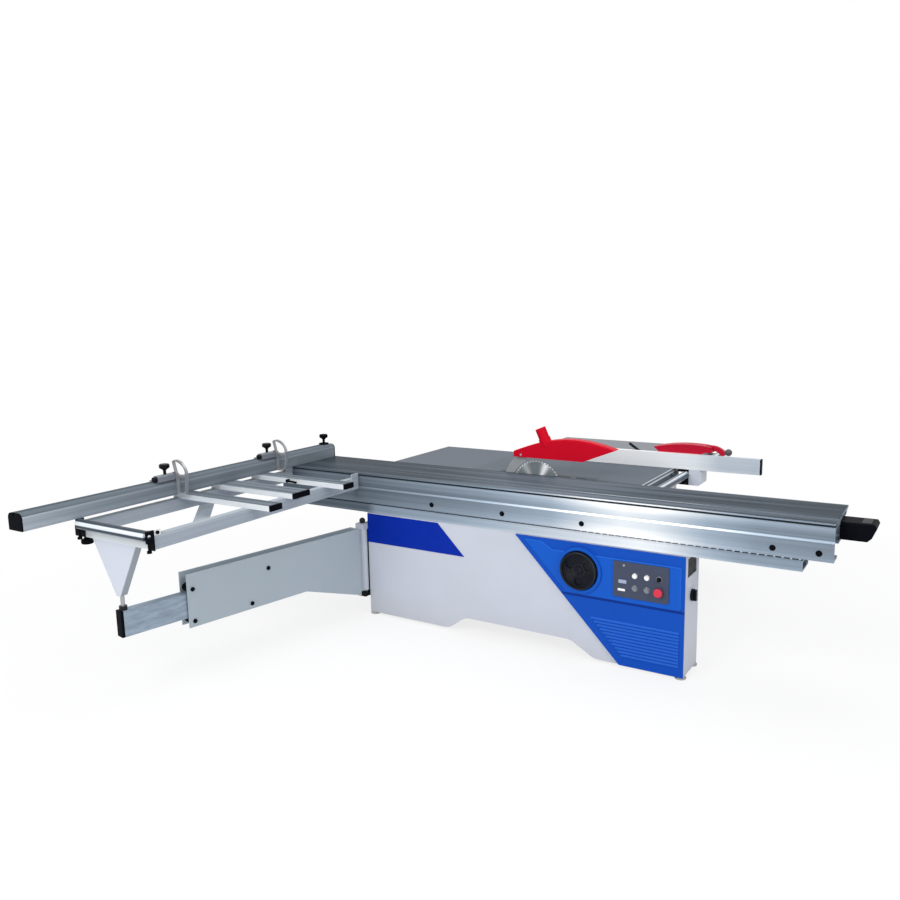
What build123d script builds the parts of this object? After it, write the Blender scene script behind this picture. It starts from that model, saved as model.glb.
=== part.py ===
from build123d import *
from math import atan2, cos, degrees, hypot, pi, radians, sin
import os

# A sliding table panel saw. Sizes are millimetres, the floor is at zero height.
# +X runs to the operator's end, +Y to the rip fence side and +Z up.

# Shared levels and gaps
TABLE_TOP = 870.0  # working plane above the floor
SLIDE_GAP = 0.5  # between pieces that slide past one another
TURN_GAP = 0.3  # round a turning piece
REST_GAP = 1.0  # between the working plane and what glides over it

# Sliding carriage, one aluminium extrusion
CARRIAGE_LEFT = -1675.0
CARRIAGE_LENGTH = 3200.0
CARRIAGE_WIDTH = 396.0
CARRIAGE_DEPTH = 176.0
CARRIAGE_WALL = 8.0
CARRIAGE_PLATE = 30.0
CARRIAGE_EDGE = 10.0  # thickness of the lip beside the blade
CARRIAGE_EDGE_RUN = 30.0
CARRIAGE_BEVEL_RUN = 66.0
CARRIAGE_LIP = 9.0
CARRIAGE_RECESS = 4.0
CARRIAGE_BAND_TOP = 82.0
CARRIAGE_BAND = 91.0
CARRIAGE_EDGE_DROP = 4.0
FRONT_LINE = 2.5  # width and depth of the fine line along the front lip
FRONT_LINE_DROP = 3.0
FRONT_SLOT = 10.0  # height of the open slot under the front lip
FRONT_SLOT_DEPTH = 12.0
TOP_GROOVE_PITCH = 22.0
TOP_GROOVE_WIDTH = 3.0
TOP_GROOVE_DEPTH = 1.2
CARRIAGE_FLANGE = 95.0
CARRIAGE_FLANGE_THICK = 12.0
WEB_Y = 150.0
WEB_THICK = 12.0
WEB_DEPTH = 118.0
WEB_FOOT = 70.0
WEB_FOOT_THICK = 12.0
TEE_SLOT_Y = 100.0
TEE_SLOT_WIDTH = 12.0
TEE_SLOT_INNER = 24.0
TEE_SLOT_LIP = 6.0
TEE_SLOT_DEPTH = 16.0
TRACK_Y = 50.0
TRACK_WIDTH = 30.0
HANDLE_LENGTH = 147.0
HANDLE_Y = 205.0
HANDLE_WIDTH = 130.0
HANDLE_HEIGHT = 80.0
HANDLE_DROP = 22.0  # top of the push handle below the working plane
HANDLE_WALL = 14.0
HANDLE_NOSE = 18.0
HANDLE_ROUND = 10.0
HANDLE_GRIP_DEPTH = 50.0

# Base beam and the roller cage between it and the carriage
BEAM_LEFT = -1500.0
BEAM_LENGTH = 2897.0
BEAM_FRONT = 22.0
BEAM_WIDTH = 148.0
BEAM_HEIGHT = 52.0
BEAM_WALL = 8.0
BEAM_SLIT = 12.0  # open slit between the carriage and the beam
RAIL_WIDTH = 32.0
ROLLER_SIZE = 16.0
ROLLER_PITCH = 60.0
CAGE_LEFT = -700.0
CAGE_LENGTH = 1290.0
CAGE_THICK = 3.0
CAGE_SIDE_GAP = 2.0

# Front cabinet and saw frame, folded sheet steel
CABINET_LEFT = -1030.0
CABINET_LENGTH = 1910.0
CABINET_FRONT = 25.0
CABINET_DEPTH = 215.0
SHEET = 4.0
FOOT_HEIGHT = 13.0
FOOT_RADIUS = 28.0
FOOT_INSET = 20.0
NOTCH_LEFT = -468.0
NOTCH_RIGHT = 415.0
NOTCH_HEIGHT = 79.0
NOTCH_LEFT_RUN = 105.0
NOTCH_RIGHT_RUN = 135.0
NOTCH_ROUND = 100.0
FRAME_HALF = 520.0
FRAME_BACK = 1000.0
VENT_FRONT = 60.0
VENT_WIDTH = 145.0
VENT_BOTTOM = 508.0
VENT_HEIGHT = 95.0
ISOLATOR_Y = 131.0
ISOLATOR_Z = 405.0
ISOLATOR_RADIUS = 30.0
ISOLATOR_LENGTH = 26.0
ISOLATOR_STEM = 8.0
DUST_PORT_X = -250.0
DUST_PORT_Z = 300.0
DUST_PORT_RADIUS = 60.0
DUST_PORT_WALL = 3.0
DUST_PORT_LENGTH = 80.0
LOUVRE_COUNT = 8
LOUVRE_LENGTH = 320.0
LOUVRE_X = 240.0
LOUVRE_BOTTOM = 240.0
LOUVRE_PITCH = 32.0
LOUVRE_GAP = 8.0

# Blue fascia, label panel, handwheel and control plate on the cabinet's front
FASCIA_THICK = 10.0
FASCIA_TOP_X = -33.0
FASCIA_BOTTOM_X = 553.0
FASCIA_DROP = 7.0  # fascia below the cabinet's top edge
RELIEF_THICK = 6.0
RELIEF_TOP = 570.0
RELIEF_BOTTOM = 350.0
RELIEF_CORNER_TOP = 607.0  # the field's raised upper left corner
RELIEF_STEP_LEFT = 122.0
RELIEF_STEP_RIGHT = 184.0
RELIEF_BEVEL = 4.0
RELIEF_INSET = 40.0
RELIEF_END = 18.0
RIB_COUNT = 11
RIB_TOP = 244.0
RIB_PITCH = 17.0
RIB_HEIGHT = 11.0
RIB_DEPTH = 6.0
RIB_INSET = 70.0
RIB_END = 23.0
WHEEL_X = 338.0
WHEEL_Z = 482.0
WHEEL_RADIUS = 100.0
WHEEL_RIM = 15.0
WHEEL_DEPTH = 26.0
WHEEL_WEB = 12.0
WHEEL_HUB = 26.0
WHEEL_HUB_SINK = 6.0
WHEEL_HOLLOW = 23.0
WHEEL_HOLLOW_DEPTH = 8.0
WHEEL_STAND_OFF = 8.0
SHAFT_RADIUS = 12.0
BEZEL_RADIUS = 120.0
BEZEL_GAP = 5.0
BEZEL_HEIGHT = 9.0
BEZEL_SINK = 8.0
LABEL_THICK = 3.0
LABEL_TOP_LENGTH = 497.0
LABEL_BOTTOM_LENGTH = 669.0
LABEL_HEIGHT = 174.0
PLATE_LEFT = 522.0
PLATE_WIDTH = 283.0
PLATE_BOTTOM = 379.0
PLATE_HEIGHT = 184.0
PLATE_THICK = 5.0
PLATE_ROUND = 10.0
POCKET_INSET = 18.0
POCKET_DEPTH = 13.0
BUTTON_X = 635.0
BUTTON_Z = 434.0
BUTTON_PITCH_X = 61.0
BUTTON_PITCH_Z = 64.0
BUTTON_RADIUS = 12.0
BUTTON_PROUD = 8.0
BUTTON_INSIDE = 4.0
STOP_HEAD_RADIUS = 22.0
STOP_HEAD_THICK = 12.0
STOP_NECK = 12.0
LAMP_RADIUS = 6.0
LAMP_PROUD = 4.0

# Tables
MAIN_LEFT = -527.0
MAIN_LENGTH = 1052.0
MAIN_FRONT = 404.0
MAIN_WIDTH = 636.0
MAIN_DEPTH = 58.0
MAIN_PLATE = 14.0
MAIN_RIM = 12.0
SAW_BAY_HALF = 365.0  # clear half length under the table for the saw unit
SAW_BAY_BACK = 700.0
INSERT_LEFT = -345.0
INSERT_LENGTH = 605.0
INSERT_WIDTH = 58.0
INSERT_THICK = 5.0
INSERT_LEDGE = 8.0
SLOT_FRONT = 9.5  # insert slot ahead of the blade plane
SLOT_BACK = 4.5
SLOT_LEFT = -326.0
SLOT_LENGTH = 523.0
REAR_LENGTH = 565.0
REAR_DEPTH = 30.0
SIDE_WIDTH = 730.0
SIDE_DEPTH = 35.0
FOLD = 5.0
STRUT_SIZE = 40.0
STRUT_X = 350.0
STRUT_FOOT_Z = 430.0
STRUT_REACH = 600.0
REAR_STRUT_Y = 560.0
REAR_STRUT_PITCH = 320.0
REAR_STRUT_FOOT_Z = 480.0
REAR_STRUT_REACH = 420.0

# Rip fence and its round rail
RAIL_X = 600.0
RAIL_DROP = 32.0  # rail axis below the working plane
RAIL_RADIUS = 22.0
RAIL_FRONT = 430.0
RAIL_LENGTH = 1330.0
RAIL_FOOT_FIRST = 70.0  # least distance of a foot from the rail's end
RAIL_FOOT_PITCH = 390.0
RAIL_FOOT_WIDTH = 24.0
RAIL_FOOT_HEIGHT = 14.0
RIP_FACE_Y = 920.0
RIP_LEFT = -100.0
RIP_LENGTH = 1115.0
RIP_HEIGHT = 88.0
RIP_THICK = 30.0
RIP_WALL = 3.0
SLIDER_LENGTH = 120.0
SLIDER_FRONT = 44.0
SLIDER_BACK = 90.0
SLIDER_BOTTOM = 90.0
SLIDER_MOUTH = 34.0
RIP_CLAMP_X = 318.0
RIP_CLAMP_DROP = 14.0  # lever's hub below the fence's top
RIP_CLAMP_HUB = 12.0
RIP_CLAMP_DEPTH = 22.0
RIP_CLAMP_REACH = 68.0
RIP_CLAMP_RISE = 46.0
RIP_CLAMP_GRIP = 8.0
CASTING_LEFT = 398.0
CASTING_LENGTH = 340.0
CASTING_THICK = 80.0
CASTING_HEIGHT = 139.0
CASTING_TAPER = 162.0
CASTING_NOSE_DROP = 25.0  # tip of the nose below the bracket's top
CASTING_BASE_LEFT = 92.0
CASTING_BASE = 165.0
CASTING_TIP = 40.0
CASTING_WALL = 10.0
LEVER_REACH = 98.0
LEVER_THICK = 24.0
LEVER_DROP = 28.0
LEVER_ROOT = 24.0
LEVER_KNOB = 20.0
LEVER_PIN = 8.0

# Saw unit
BLADE_X = -105.0
BLADE_Y = 420.0
BLADE_RADIUS = 150.0
BLADE_THICK = 3.2
BLADE_RISE = 80.0  # blade above the working plane as it stands
BLADE_TEETH = 48
TOOTH_DEPTH = 9.0
BLADE_BORE = 15.0
FLANGE_RADIUS = 42.0
FLANGE_THICK = 7.0
NUT_RADIUS = 18.0
NUT_THICK = 11.0
ARBOR_HOUSING = 38.0
ARBOR_HOUSING_LENGTH = 126.0
PULLEY_WIDTH = 40.0
ARBOR_PULLEY = 32.0
MOTOR_PULLEY = 60.0
MOTOR_X = 15.0
MOTOR_DROP = 175.0  # motor axis below the arbor
MOTOR_RADIUS = 88.0
MOTOR_LENGTH = 300.0
MOTOR_SHAFT = 14.0
FIN_COUNT = 24
FIN_HEIGHT = 8.0
FIN_THICK = 4.0
BELT_THICK = 9.0
CARRIER_PLATE = 14.0
COLUMN_X = 225.0
COLUMN_RADIUS = 15.0
COLUMN_BOSS = 28.0
CARRIER_ARM = 30.0  # thickness of the arm from the housing to the motor plate
CARRIER_ARM_RISE = 10.0
KNIFE_HOLDER = 25.0
COLUMN_BOTTOM = 435.0
COLUMN_TOP = 800.0
ARC_X = 320.0
ARC_THICK = 30.0
CRADLE_SIDE = 20.0
ARC_INNER = 210.0
ARC_OUTER = 250.0
ARC_START = -90.0
ARC_END = -30.0
TIE_HEIGHT = 26.0
TIE_DEPTH = 30.0
SADDLE_START = -84.0
SADDLE_END = -72.0
SADDLE_DEPTH = 60.0
SCORING_X = 120.0
SCORING_RADIUS = 60.0
SCORING_THICK = 3.0
SCORING_RISE = 1.5
SCORING_TEETH = 24
SCORING_MOTOR = 40.0
SCORING_MOTOR_LENGTH = 150.0
SCORING_SHAFT = 30.0
SCORING_BORE_DEPTH = 40.0
GEARBOX_WIDTH = 76.0
GEARBOX_DEPTH = 70.0
GEARBOX_HEIGHT = 90.0
GEARBOX_SCREW = 10.0
GEARBOX_SCREW_LENGTH = 100.0
KNIFE_GAP = 6.0
KNIFE_WIDTH = 54.0
KNIFE_THICK = 2.8
KNIFE_TOP = 112.0
KNIFE_BOLT = 6.0
KNIFE_BOLT_PROUD = 4.0
KNIFE_SLOT = 3.0  # half width of the hood's slot over the knife

# Blade guard
HOOD_LEFT = -237.0
HOOD_RIGHT = 378.0
HOOD_BOTTOM = 98.0  # this and the next three heights are above the working plane
HOOD_HEEL = 132.0
HOOD_CROWN = 217.0
HOOD_NOSE = 174.0
HOOD_CROWN_X = 120.0
HOOD_CHIN_X = 190.0
HOOD_HEEL_SLOPE = 0.4
HOOD_NOSE_SLOPE = 0.3
HOOD_ROUND = 7.0
HOOD_HALF = 30.0
HOOD_WALL = 3.0
HOOD_PIVOT_X = -190.0
HOOD_PIVOT_Z = 112.0
SPOUT_X = -37.0
SPOUT_BASE = 166.5
SPOUT_RADIUS = 30.0
SPOUT_WALL = 3.0
SPOUT_LENGTH = 110.0
SPOUT_COLLAR = 34.0
SPIGOT_LENGTH = 60.0  # straight end that takes the hose
SPOUT_LEAN = 24.0

# Outrigger frame on the carriage's front
NEAR_BEAM_X = -1075.0
FAR_BEAM_X = -1595.0
FRAME_BEAM_WIDTH = 40.0
FRAME_BEAM_HEIGHT = 66.0
FRAME_BEAM_WALL = 3.0
FRAME_OUT = -1470.0
FRAME_PLATE_LENGTH = 60.0
BAR_HEIGHT = 30.0
BAR_WALL = 3.0
BAR_FAR_X = -1635.0
BARS = ((-842.0, 82.0, -920.0), (-555.0, 126.0, -1010.0), (-268.0, 77.0, -920.0))
BAR_CAP = 12.0
BAR_LEVER_X = -1335.0
BAR_LEVER_HUB = 10.0
BAR_LEVER_DEPTH = 18.0
BAR_LEVER_REACH = 80.0
BAR_LEVER_GRIP = 6.0
BRACE_WIDTH = 112.0
BRACE_THICK = 6.0
BRACE_FAR_Y = -725.0
BRACE_NEAR_Y = -1270.0
LEG_TOP_WIDTH = 312.0
LEG_HEIGHT = 262.0
LEG_TIP_WIDTH = 26.0
LEG_FLANGE = 40.0
LEG_SHEET = 4.0
FOOT_PIN_RADIUS = 10.0
FOOT_BUSH_RADIUS = 19.0
FOOT_BUSH_HEIGHT = 20.0
END_ROLLER_RADIUS = 25.0
END_ROLLER_OUT = 28.0  # roller's axis beyond the frame's end
END_ROLLER_LEFT = -1562.0
END_ROLLER_LENGTH = 490.0
END_ROLLER_PIN = 8.0
END_BRACKET_THICK = 12.0
END_BRACKET_RIM = 4.0
END_FOOT_THICK = 6.0
END_STUD_RADIUS = 11.0
END_STUD_LENGTH = 44.0
END_GUIDE_OVERHANG = 4.0
END_SCREW = 8.0
END_GUIDE_WIDTH = 48.0
END_GUIDE_ROUND = 9.0
FRAME_KNOB_RADIUS = 29.0
FRAME_KNOB_THICK = 24.0
FRAME_KNOB_NECK = 16.0

# Crosscut fence with its flip stops
FENCE_FACE_X = -1565.0
FENCE_WIDTH = 100.0
FENCE_HEIGHT = 82.0
FENCE_WALL = 4.0
FENCE_ROUND = 26.0
FENCE_OUT = -1778.0
FENCE_IN = 385.0
FENCE_CAP = 8.0
FENCE_SLOT = 10.0
FENCE_SLOT_DEPTH = 14.0
CLAMP_Y = 335.0
CLAMP_WIDTH = 44.0
CLAMP_HEIGHT = 12.0
KNOB_RADIUS = 27.0
KNOB_HEIGHT = 24.0
KNOB_NECK = 8.0
KNOB_RISE = 32.0
STOP_YS = (-971.0, -219.0)
STOP_LENGTH = 108.0
STOP_HEIGHT = 34.0
STOP_PLATE = 8.0
STOP_PLATE_WIDTH = 73.0
STOP_BOSS_WIDTH = 40.0
STOP_FRONT = 2.0  # behind the fence's face
STOP_ROUND = 8.0
STOP_SCREW_RADIUS = 14.0
STOP_SCREW_LENGTH = 18.0
STOP_KNOB_OFFSET = 4.0
STOP_ARM_THICK = 14.0
STOP_ARM_WIDTH = 84.0
STOP_ARM_TOP = 106.0  # loop above the fence's top
STOP_ARM_RIM = 11.0
STOP_PIN = 7.0
STOP_PIN_RISE = 22.0
STOP_PIN_BACK = 14.0
STOP_ARM_LEAN = 24.0
STOP_ARM_SHOULDER = 38.0

# Swing arm on the cabinet's left end, pointing at the outrigger's leg
HINGE_X = -1068.0
HINGE_Y = 20.0
HINGE_RADIUS = 16.0
HINGE_BOTTOM = 112.0
HINGE_TOP = 560.0
HINGE_KNOB = 18.0
BEARING_HEIGHT = 34.0
BEARING_HALF = 30.0
COLUMN_OUTER = 27.0
ARM_TOP = 540.0
ARM_BOTTOM = 262.0
ARM_ROOT_BOTTOM = 132.0
ARM_ROOT_LENGTH = 460.0
ARM_START = 60.0
ARM_LENGTH = 1185.0
ARM_PLATE = 6.0
ARM_INNER = 64.0  # clear width between the two plates
TUBE_WIDTH = 50.0
TUBE_HEIGHT = 128.0
TUBE_WALL = 4.0
TUBE_BOTTOM = 312.0
TUBE_TAIL = 240.0
TUBE_END_CAP = 14.0
TUBE_OVERHANG = 26.0
ARM_ROLLER_RADIUS = 19.0
ARM_BOLT_RADIUS = 6.0
ARM_BOLT_HEAD = 11.0
ARM_BOLT_PROUD = 5.0
ARM_LOWER_ROLLERS = (817.0, 1154.0)
ARM_UPPER_ROLLERS = (705.0, 1156.0)

# Levels and lines that follow from the sizes above
CARRIAGE_RIGHT = CARRIAGE_LEFT + CARRIAGE_LENGTH
CARRIAGE_BOTTOM = TABLE_TOP - CARRIAGE_DEPTH
BEAM_TOP = CARRIAGE_BOTTOM - BEAM_SLIT
TRACK_DEPTH = (ROLLER_SIZE - BEAM_SLIT) / 2
BEAM_BOTTOM = BEAM_TOP - BEAM_HEIGHT
BEAM_RIGHT = BEAM_LEFT + BEAM_LENGTH
BEAM_BACK = BEAM_FRONT + BEAM_WIDTH
RAIL_TOP = TABLE_TOP - WEB_DEPTH - ROLLER_SIZE
CABINET_RIGHT = CABINET_LEFT + CABINET_LENGTH
CABINET_TOP = BEAM_BOTTOM
CABINET_BACK = CABINET_FRONT + CABINET_DEPTH
MAIN_RIGHT = MAIN_LEFT + MAIN_LENGTH
MAIN_BACK = MAIN_FRONT + MAIN_WIDTH
MAIN_BOTTOM = TABLE_TOP - MAIN_DEPTH
FASCIA_FACE = CABINET_FRONT - FASCIA_THICK
RELIEF_FACE = FASCIA_FACE - RELIEF_THICK
PLATE_FACE = RELIEF_FACE - PLATE_THICK
FASCIA_TOP = CABINET_TOP - FASCIA_DROP
ARBOR_Z = TABLE_TOP + BLADE_RISE - BLADE_RADIUS
BAR_TOP = TABLE_TOP
FRAME_BEAM_TOP = BAR_TOP - BAR_HEIGHT
FRAME_BEAM_BOTTOM = FRAME_BEAM_TOP - FRAME_BEAM_HEIGHT
FENCE_BOTTOM = TABLE_TOP + SLIDE_GAP
FENCE_TOP = FENCE_BOTTOM + FENCE_HEIGHT
FENCE_MID_X = FENCE_FACE_X - FENCE_WIDTH / 2
TUBE_TOP = TUBE_BOTTOM + TUBE_HEIGHT
LEG_X = (NEAR_BEAM_X + FAR_BEAM_X - FRAME_BEAM_WIDTH) / 2
LEG_Y = FRAME_OUT + LEG_FLANGE / 2
END_ROLLER_Y = FRAME_OUT - END_ROLLER_OUT
ARM_REACH = hypot(LEG_X - HINGE_X, LEG_Y - HINGE_Y)
ARM_TURN = degrees(atan2(LEG_Y - HINGE_Y, LEG_X - HINGE_X))
ARM_PLACE = Pos(HINGE_X, HINGE_Y, 0) * Rot(0, 0, ARM_TURN)


def block(low, high):
    """Box between two opposite corners."""
    size = [b - a for a, b in zip(low, high)]
    middle = [(a + b) / 2 for a, b in zip(low, high)]
    return Pos(*middle) * Box(*size)


def along_x(points, start, end):
    """Outline of (y, z) points carried along X."""
    face = Plane.YZ.offset(start) * make_face(Polyline(*points, close=True))
    return extrude(face, amount=end - start, dir=(1, 0, 0))


def along_y(points, start, end):
    """Outline of (x, z) points carried along Y."""
    face = Plane.XZ.offset(-start) * make_face(Polyline(*points, close=True))
    return extrude(face, amount=end - start, dir=(0, 1, 0))


def along_z(points, start, end):
    """Outline of (x, y) points carried along Z."""
    face = Plane.XY.offset(start) * make_face(Polyline(*points, close=True))
    return extrude(face, amount=end - start, dir=(0, 0, 1))


def rod(start, end, radius):
    """Round bar from one point to another."""
    run = Vector(*end) - Vector(*start)
    return extrude(Plane(origin=start, z_dir=run) * Circle(radius), amount=run.length)


def ring_x(centre_y, centre_z, inner, outer, first, last, start, end):
    """Arc of a ring about an X axis, from one angle to another, carried along X."""
    middle = (first + last) / 2
    reach = 2 * outer
    wedge = [(0, 0)]
    for angle in (first, middle, last):
        wedge.append((reach * cos(radians(angle)), reach * sin(radians(angle))))
    face = (Circle(outer) - Circle(inner)) & make_face(Polyline(*wedge, close=True))
    place = Plane.YZ.offset(start) * Pos(centre_y, centre_z)
    return extrude(place * face, amount=end - start, dir=(1, 0, 0))


def group(*pieces):
    """Separate solids that share one node."""
    return Compound([solid for piece in pieces for solid in piece.solids()])


# Sliding carriage

def carriage_profile():
    """Open extrusion: grooved top plate, stepped front wall, flange and inner rail web."""
    wall = CARRIAGE_WALL
    recess = CARRIAGE_RECESS
    depth = CARRIAGE_DEPTH
    plate = CARRIAGE_PLATE
    flange_top = depth - CARRIAGE_FLANGE_THICK
    web_right = WEB_Y + WEB_THICK
    foot_left = WEB_Y + WEB_THICK / 2 - WEB_FOOT / 2
    foot_top = WEB_DEPTH - WEB_FOOT_THICK
    edge_start = CARRIAGE_WIDTH - CARRIAGE_EDGE_RUN
    outline = [
        (0, 0), (0, -CARRIAGE_LIP), (recess, -CARRIAGE_LIP), (recess, -CARRIAGE_BAND_TOP),
        (0, -CARRIAGE_BAND), (0, -depth), (CARRIAGE_FLANGE, -depth), (CARRIAGE_FLANGE, -flange_top),
        (wall, -flange_top), (wall, -CARRIAGE_BAND), (recess + wall, -CARRIAGE_BAND_TOP),
        (recess + wall, -plate), (WEB_Y, -plate), (WEB_Y, -foot_top), (foot_left, -foot_top),
        (foot_left, -WEB_DEPTH), (foot_left + WEB_FOOT, -WEB_DEPTH), (foot_left + WEB_FOOT, -foot_top),
        (web_right, -foot_top), (web_right, -plate), (CARRIAGE_WIDTH - CARRIAGE_BEVEL_RUN, -plate),
        (edge_start, -CARRIAGE_EDGE - CARRIAGE_EDGE_DROP), (CARRIAGE_WIDTH, -CARRIAGE_EDGE),
        (CARRIAGE_WIDTH, 0),
    ]
    body = along_x([(y, TABLE_TOP + z) for y, z in outline], CARRIAGE_LEFT, CARRIAGE_RIGHT)

    def channel(left, right, top, bottom):
        return block(
            (CARRIAGE_LEFT - 1, left, TABLE_TOP - bottom), (CARRIAGE_RIGHT + 1, right, TABLE_TOP - top)
        )

    mouth = TEE_SLOT_WIDTH / 2
    inner = TEE_SLOT_INNER / 2
    chamber_top = wall
    chamber_bottom = plate - wall * 0.75
    body -= channel(TEE_SLOT_Y - mouth, TEE_SLOT_Y + mouth, -1, TEE_SLOT_LIP + 1)
    body -= channel(TEE_SLOT_Y - inner, TEE_SLOT_Y + inner, TEE_SLOT_LIP, TEE_SLOT_DEPTH)
    body -= channel(recess + 2 * wall, TEE_SLOT_Y - inner - wall, chamber_top, chamber_bottom)
    body -= channel(TEE_SLOT_Y + inner + wall, WEB_Y - wall / 2, chamber_top, chamber_bottom)
    body -= channel(
        web_right + wall, CARRIAGE_WIDTH - CARRIAGE_BEVEL_RUN - wall, chamber_top, chamber_bottom
    )
    track = TRACK_WIDTH / 2
    body -= channel(TRACK_Y - track, TRACK_Y + track, depth - TRACK_DEPTH, depth + 1)
    body -= channel(-1, FRONT_LINE, FRONT_LINE_DROP, FRONT_LINE_DROP + FRONT_LINE)
    body -= channel(-1, FRONT_SLOT_DEPTH, CARRIAGE_LIP, CARRIAGE_LIP + FRONT_SLOT)
    half = TOP_GROOVE_WIDTH / 2
    for number in range(1, int(CARRIAGE_WIDTH // TOP_GROOVE_PITCH)):
        y = number * TOP_GROOVE_PITCH
        if abs(y - TEE_SLOT_Y) > TEE_SLOT_INNER:
            body -= channel(y - half, y + half, -1, TOP_GROOVE_DEPTH)
    return body


def push_handle():
    """Hollow grip on the carriage's end, round above and open below for the fingers."""
    top = TABLE_TOP - HANDLE_DROP
    bottom = top - HANDLE_HEIGHT
    end = CARRIAGE_RIGHT + HANDLE_LENGTH
    nose = HANDLE_NOSE
    outline = [
        (CARRIAGE_RIGHT, bottom), (end - 2 * nose, bottom), (end - nose, bottom + nose),
        (end, top - nose), (end - nose / 2, top), (CARRIAGE_RIGHT, top),
    ]
    left = HANDLE_Y - HANDLE_WIDTH / 2
    right = HANDLE_Y + HANDLE_WIDTH / 2
    grip = along_y(outline, left, right)
    grip = fillet(grip.edges().filter_by(Axis.X).group_by(Axis.Z)[-1], HANDLE_ROUND)
    grip -= block(
        (CARRIAGE_RIGHT + HANDLE_WALL, left + HANDLE_WALL, bottom - 1),
        (end - 2 * nose, right - HANDLE_WALL, bottom + HANDLE_GRIP_DEPTH),
    )
    return grip


# Base beam and rollers

def base_beam():
    """Hollow beam with a front track and a taller rail under the carriage's web."""
    rail_front = BEAM_BACK - RAIL_WIDTH
    outline = [
        (BEAM_FRONT, BEAM_BOTTOM), (BEAM_BACK, BEAM_BOTTOM), (BEAM_BACK, RAIL_TOP),
        (rail_front, RAIL_TOP), (rail_front, BEAM_TOP), (BEAM_FRONT, BEAM_TOP),
    ]
    beam = along_x(outline, BEAM_LEFT, BEAM_RIGHT)
    low = BEAM_BOTTOM + BEAM_WALL
    beam -= block(
        (BEAM_LEFT - 1, BEAM_FRONT + BEAM_WALL, low),
        (BEAM_RIGHT + 1, rail_front - BEAM_WALL / 2, BEAM_TOP - TRACK_DEPTH - BEAM_WALL),
    )
    beam -= block(
        (BEAM_LEFT - 1, rail_front + BEAM_WALL / 2, low),
        (BEAM_RIGHT + 1, BEAM_BACK - BEAM_WALL, RAIL_TOP - BEAM_WALL),
    )
    beam -= block(
        (BEAM_LEFT - 1, TRACK_Y - TRACK_WIDTH / 2, BEAM_TOP - TRACK_DEPTH),
        (BEAM_RIGHT + 1, TRACK_Y + TRACK_WIDTH / 2, BEAM_TOP + 1),
    )
    return beam


def cage_row(middle_y, middle_z, width):
    """One strip of evenly spaced steel rollers held in a flat cage."""
    front = middle_y - width / 2
    back = middle_y + width / 2
    row = block(
        (CAGE_LEFT, front, middle_z - CAGE_THICK / 2),
        (CAGE_LEFT + CAGE_LENGTH, back, middle_z + CAGE_THICK / 2),
    )
    count = int(CAGE_LENGTH // ROLLER_PITCH)
    first = CAGE_LEFT + (CAGE_LENGTH - (count - 1) * ROLLER_PITCH) / 2
    for number in range(count):
        x = first + number * ROLLER_PITCH
        row += rod((x, front, middle_z), (x, back, middle_z), ROLLER_SIZE / 2 - TURN_GAP)
    return row


def roller_cage():
    """The front and inner roller rows, which roll half as far as the carriage."""
    front_z = (CARRIAGE_BOTTOM + BEAM_TOP) / 2
    inner_z = RAIL_TOP + ROLLER_SIZE / 2
    front = cage_row(TRACK_Y, front_z, TRACK_WIDTH - 2 * CAGE_SIDE_GAP)
    inner = cage_row(BEAM_BACK - RAIL_WIDTH / 2, inner_z, RAIL_WIDTH - 4 * CAGE_SIDE_GAP)
    return group(front, inner)


# Cabinet and saw frame

def cabinet_front():
    """Front sheet with its raised toe notch, folded back at the top under the beam."""
    bottom = FOOT_HEIGHT
    notch = bottom + NOTCH_HEIGHT
    outline = [
        (CABINET_LEFT, bottom), (NOTCH_LEFT, bottom), (NOTCH_LEFT + NOTCH_LEFT_RUN, notch),
        (NOTCH_RIGHT - NOTCH_RIGHT_RUN, notch), (NOTCH_RIGHT, bottom), (CABINET_RIGHT, bottom),
        (CABINET_RIGHT, CABINET_TOP), (CABINET_LEFT, CABINET_TOP),
    ]
    back = CABINET_FRONT + SHEET
    panel = along_y(outline, CABINET_FRONT, back)
    notch_corners = panel.edges().filter_by(Axis.Y).filter_by(
        lambda edge: NOTCH_LEFT - 1 < edge.center().X < NOTCH_RIGHT + 1
    )
    panel = fillet(notch_corners, NOTCH_ROUND)
    panel += block((CABINET_LEFT, back, CABINET_TOP - SHEET), (CABINET_RIGHT, BEAM_BACK, CABINET_TOP))
    hole = SHAFT_RADIUS + TURN_GAP
    panel -= rod((WHEEL_X, CABINET_FRONT - 1, WHEEL_Z), (WHEEL_X, back + 1, WHEEL_Z), hole)
    return panel


def cabinet_ends():
    """Left and right end sheets; the right one has the vent and the isolator's hole."""
    front = CABINET_FRONT + SHEET
    top = CABINET_TOP - SHEET
    left = block((CABINET_LEFT, front, FOOT_HEIGHT), (CABINET_LEFT + SHEET, CABINET_BACK, top))
    inside = CABINET_RIGHT - SHEET
    right = block((inside, front, FOOT_HEIGHT), (CABINET_RIGHT, CABINET_BACK, top))
    right -= block(
        (inside - 1, VENT_FRONT, VENT_BOTTOM),
        (CABINET_RIGHT + 1, VENT_FRONT + VENT_WIDTH, VENT_BOTTOM + VENT_HEIGHT),
    )
    right -= rod(
        (inside - 1, ISOLATOR_Y, ISOLATOR_Z), (CABINET_RIGHT + 1, ISOLATOR_Y, ISOLATOR_Z),
        ISOLATOR_STEM + TURN_GAP,
    )
    return group(left, right)


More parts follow.
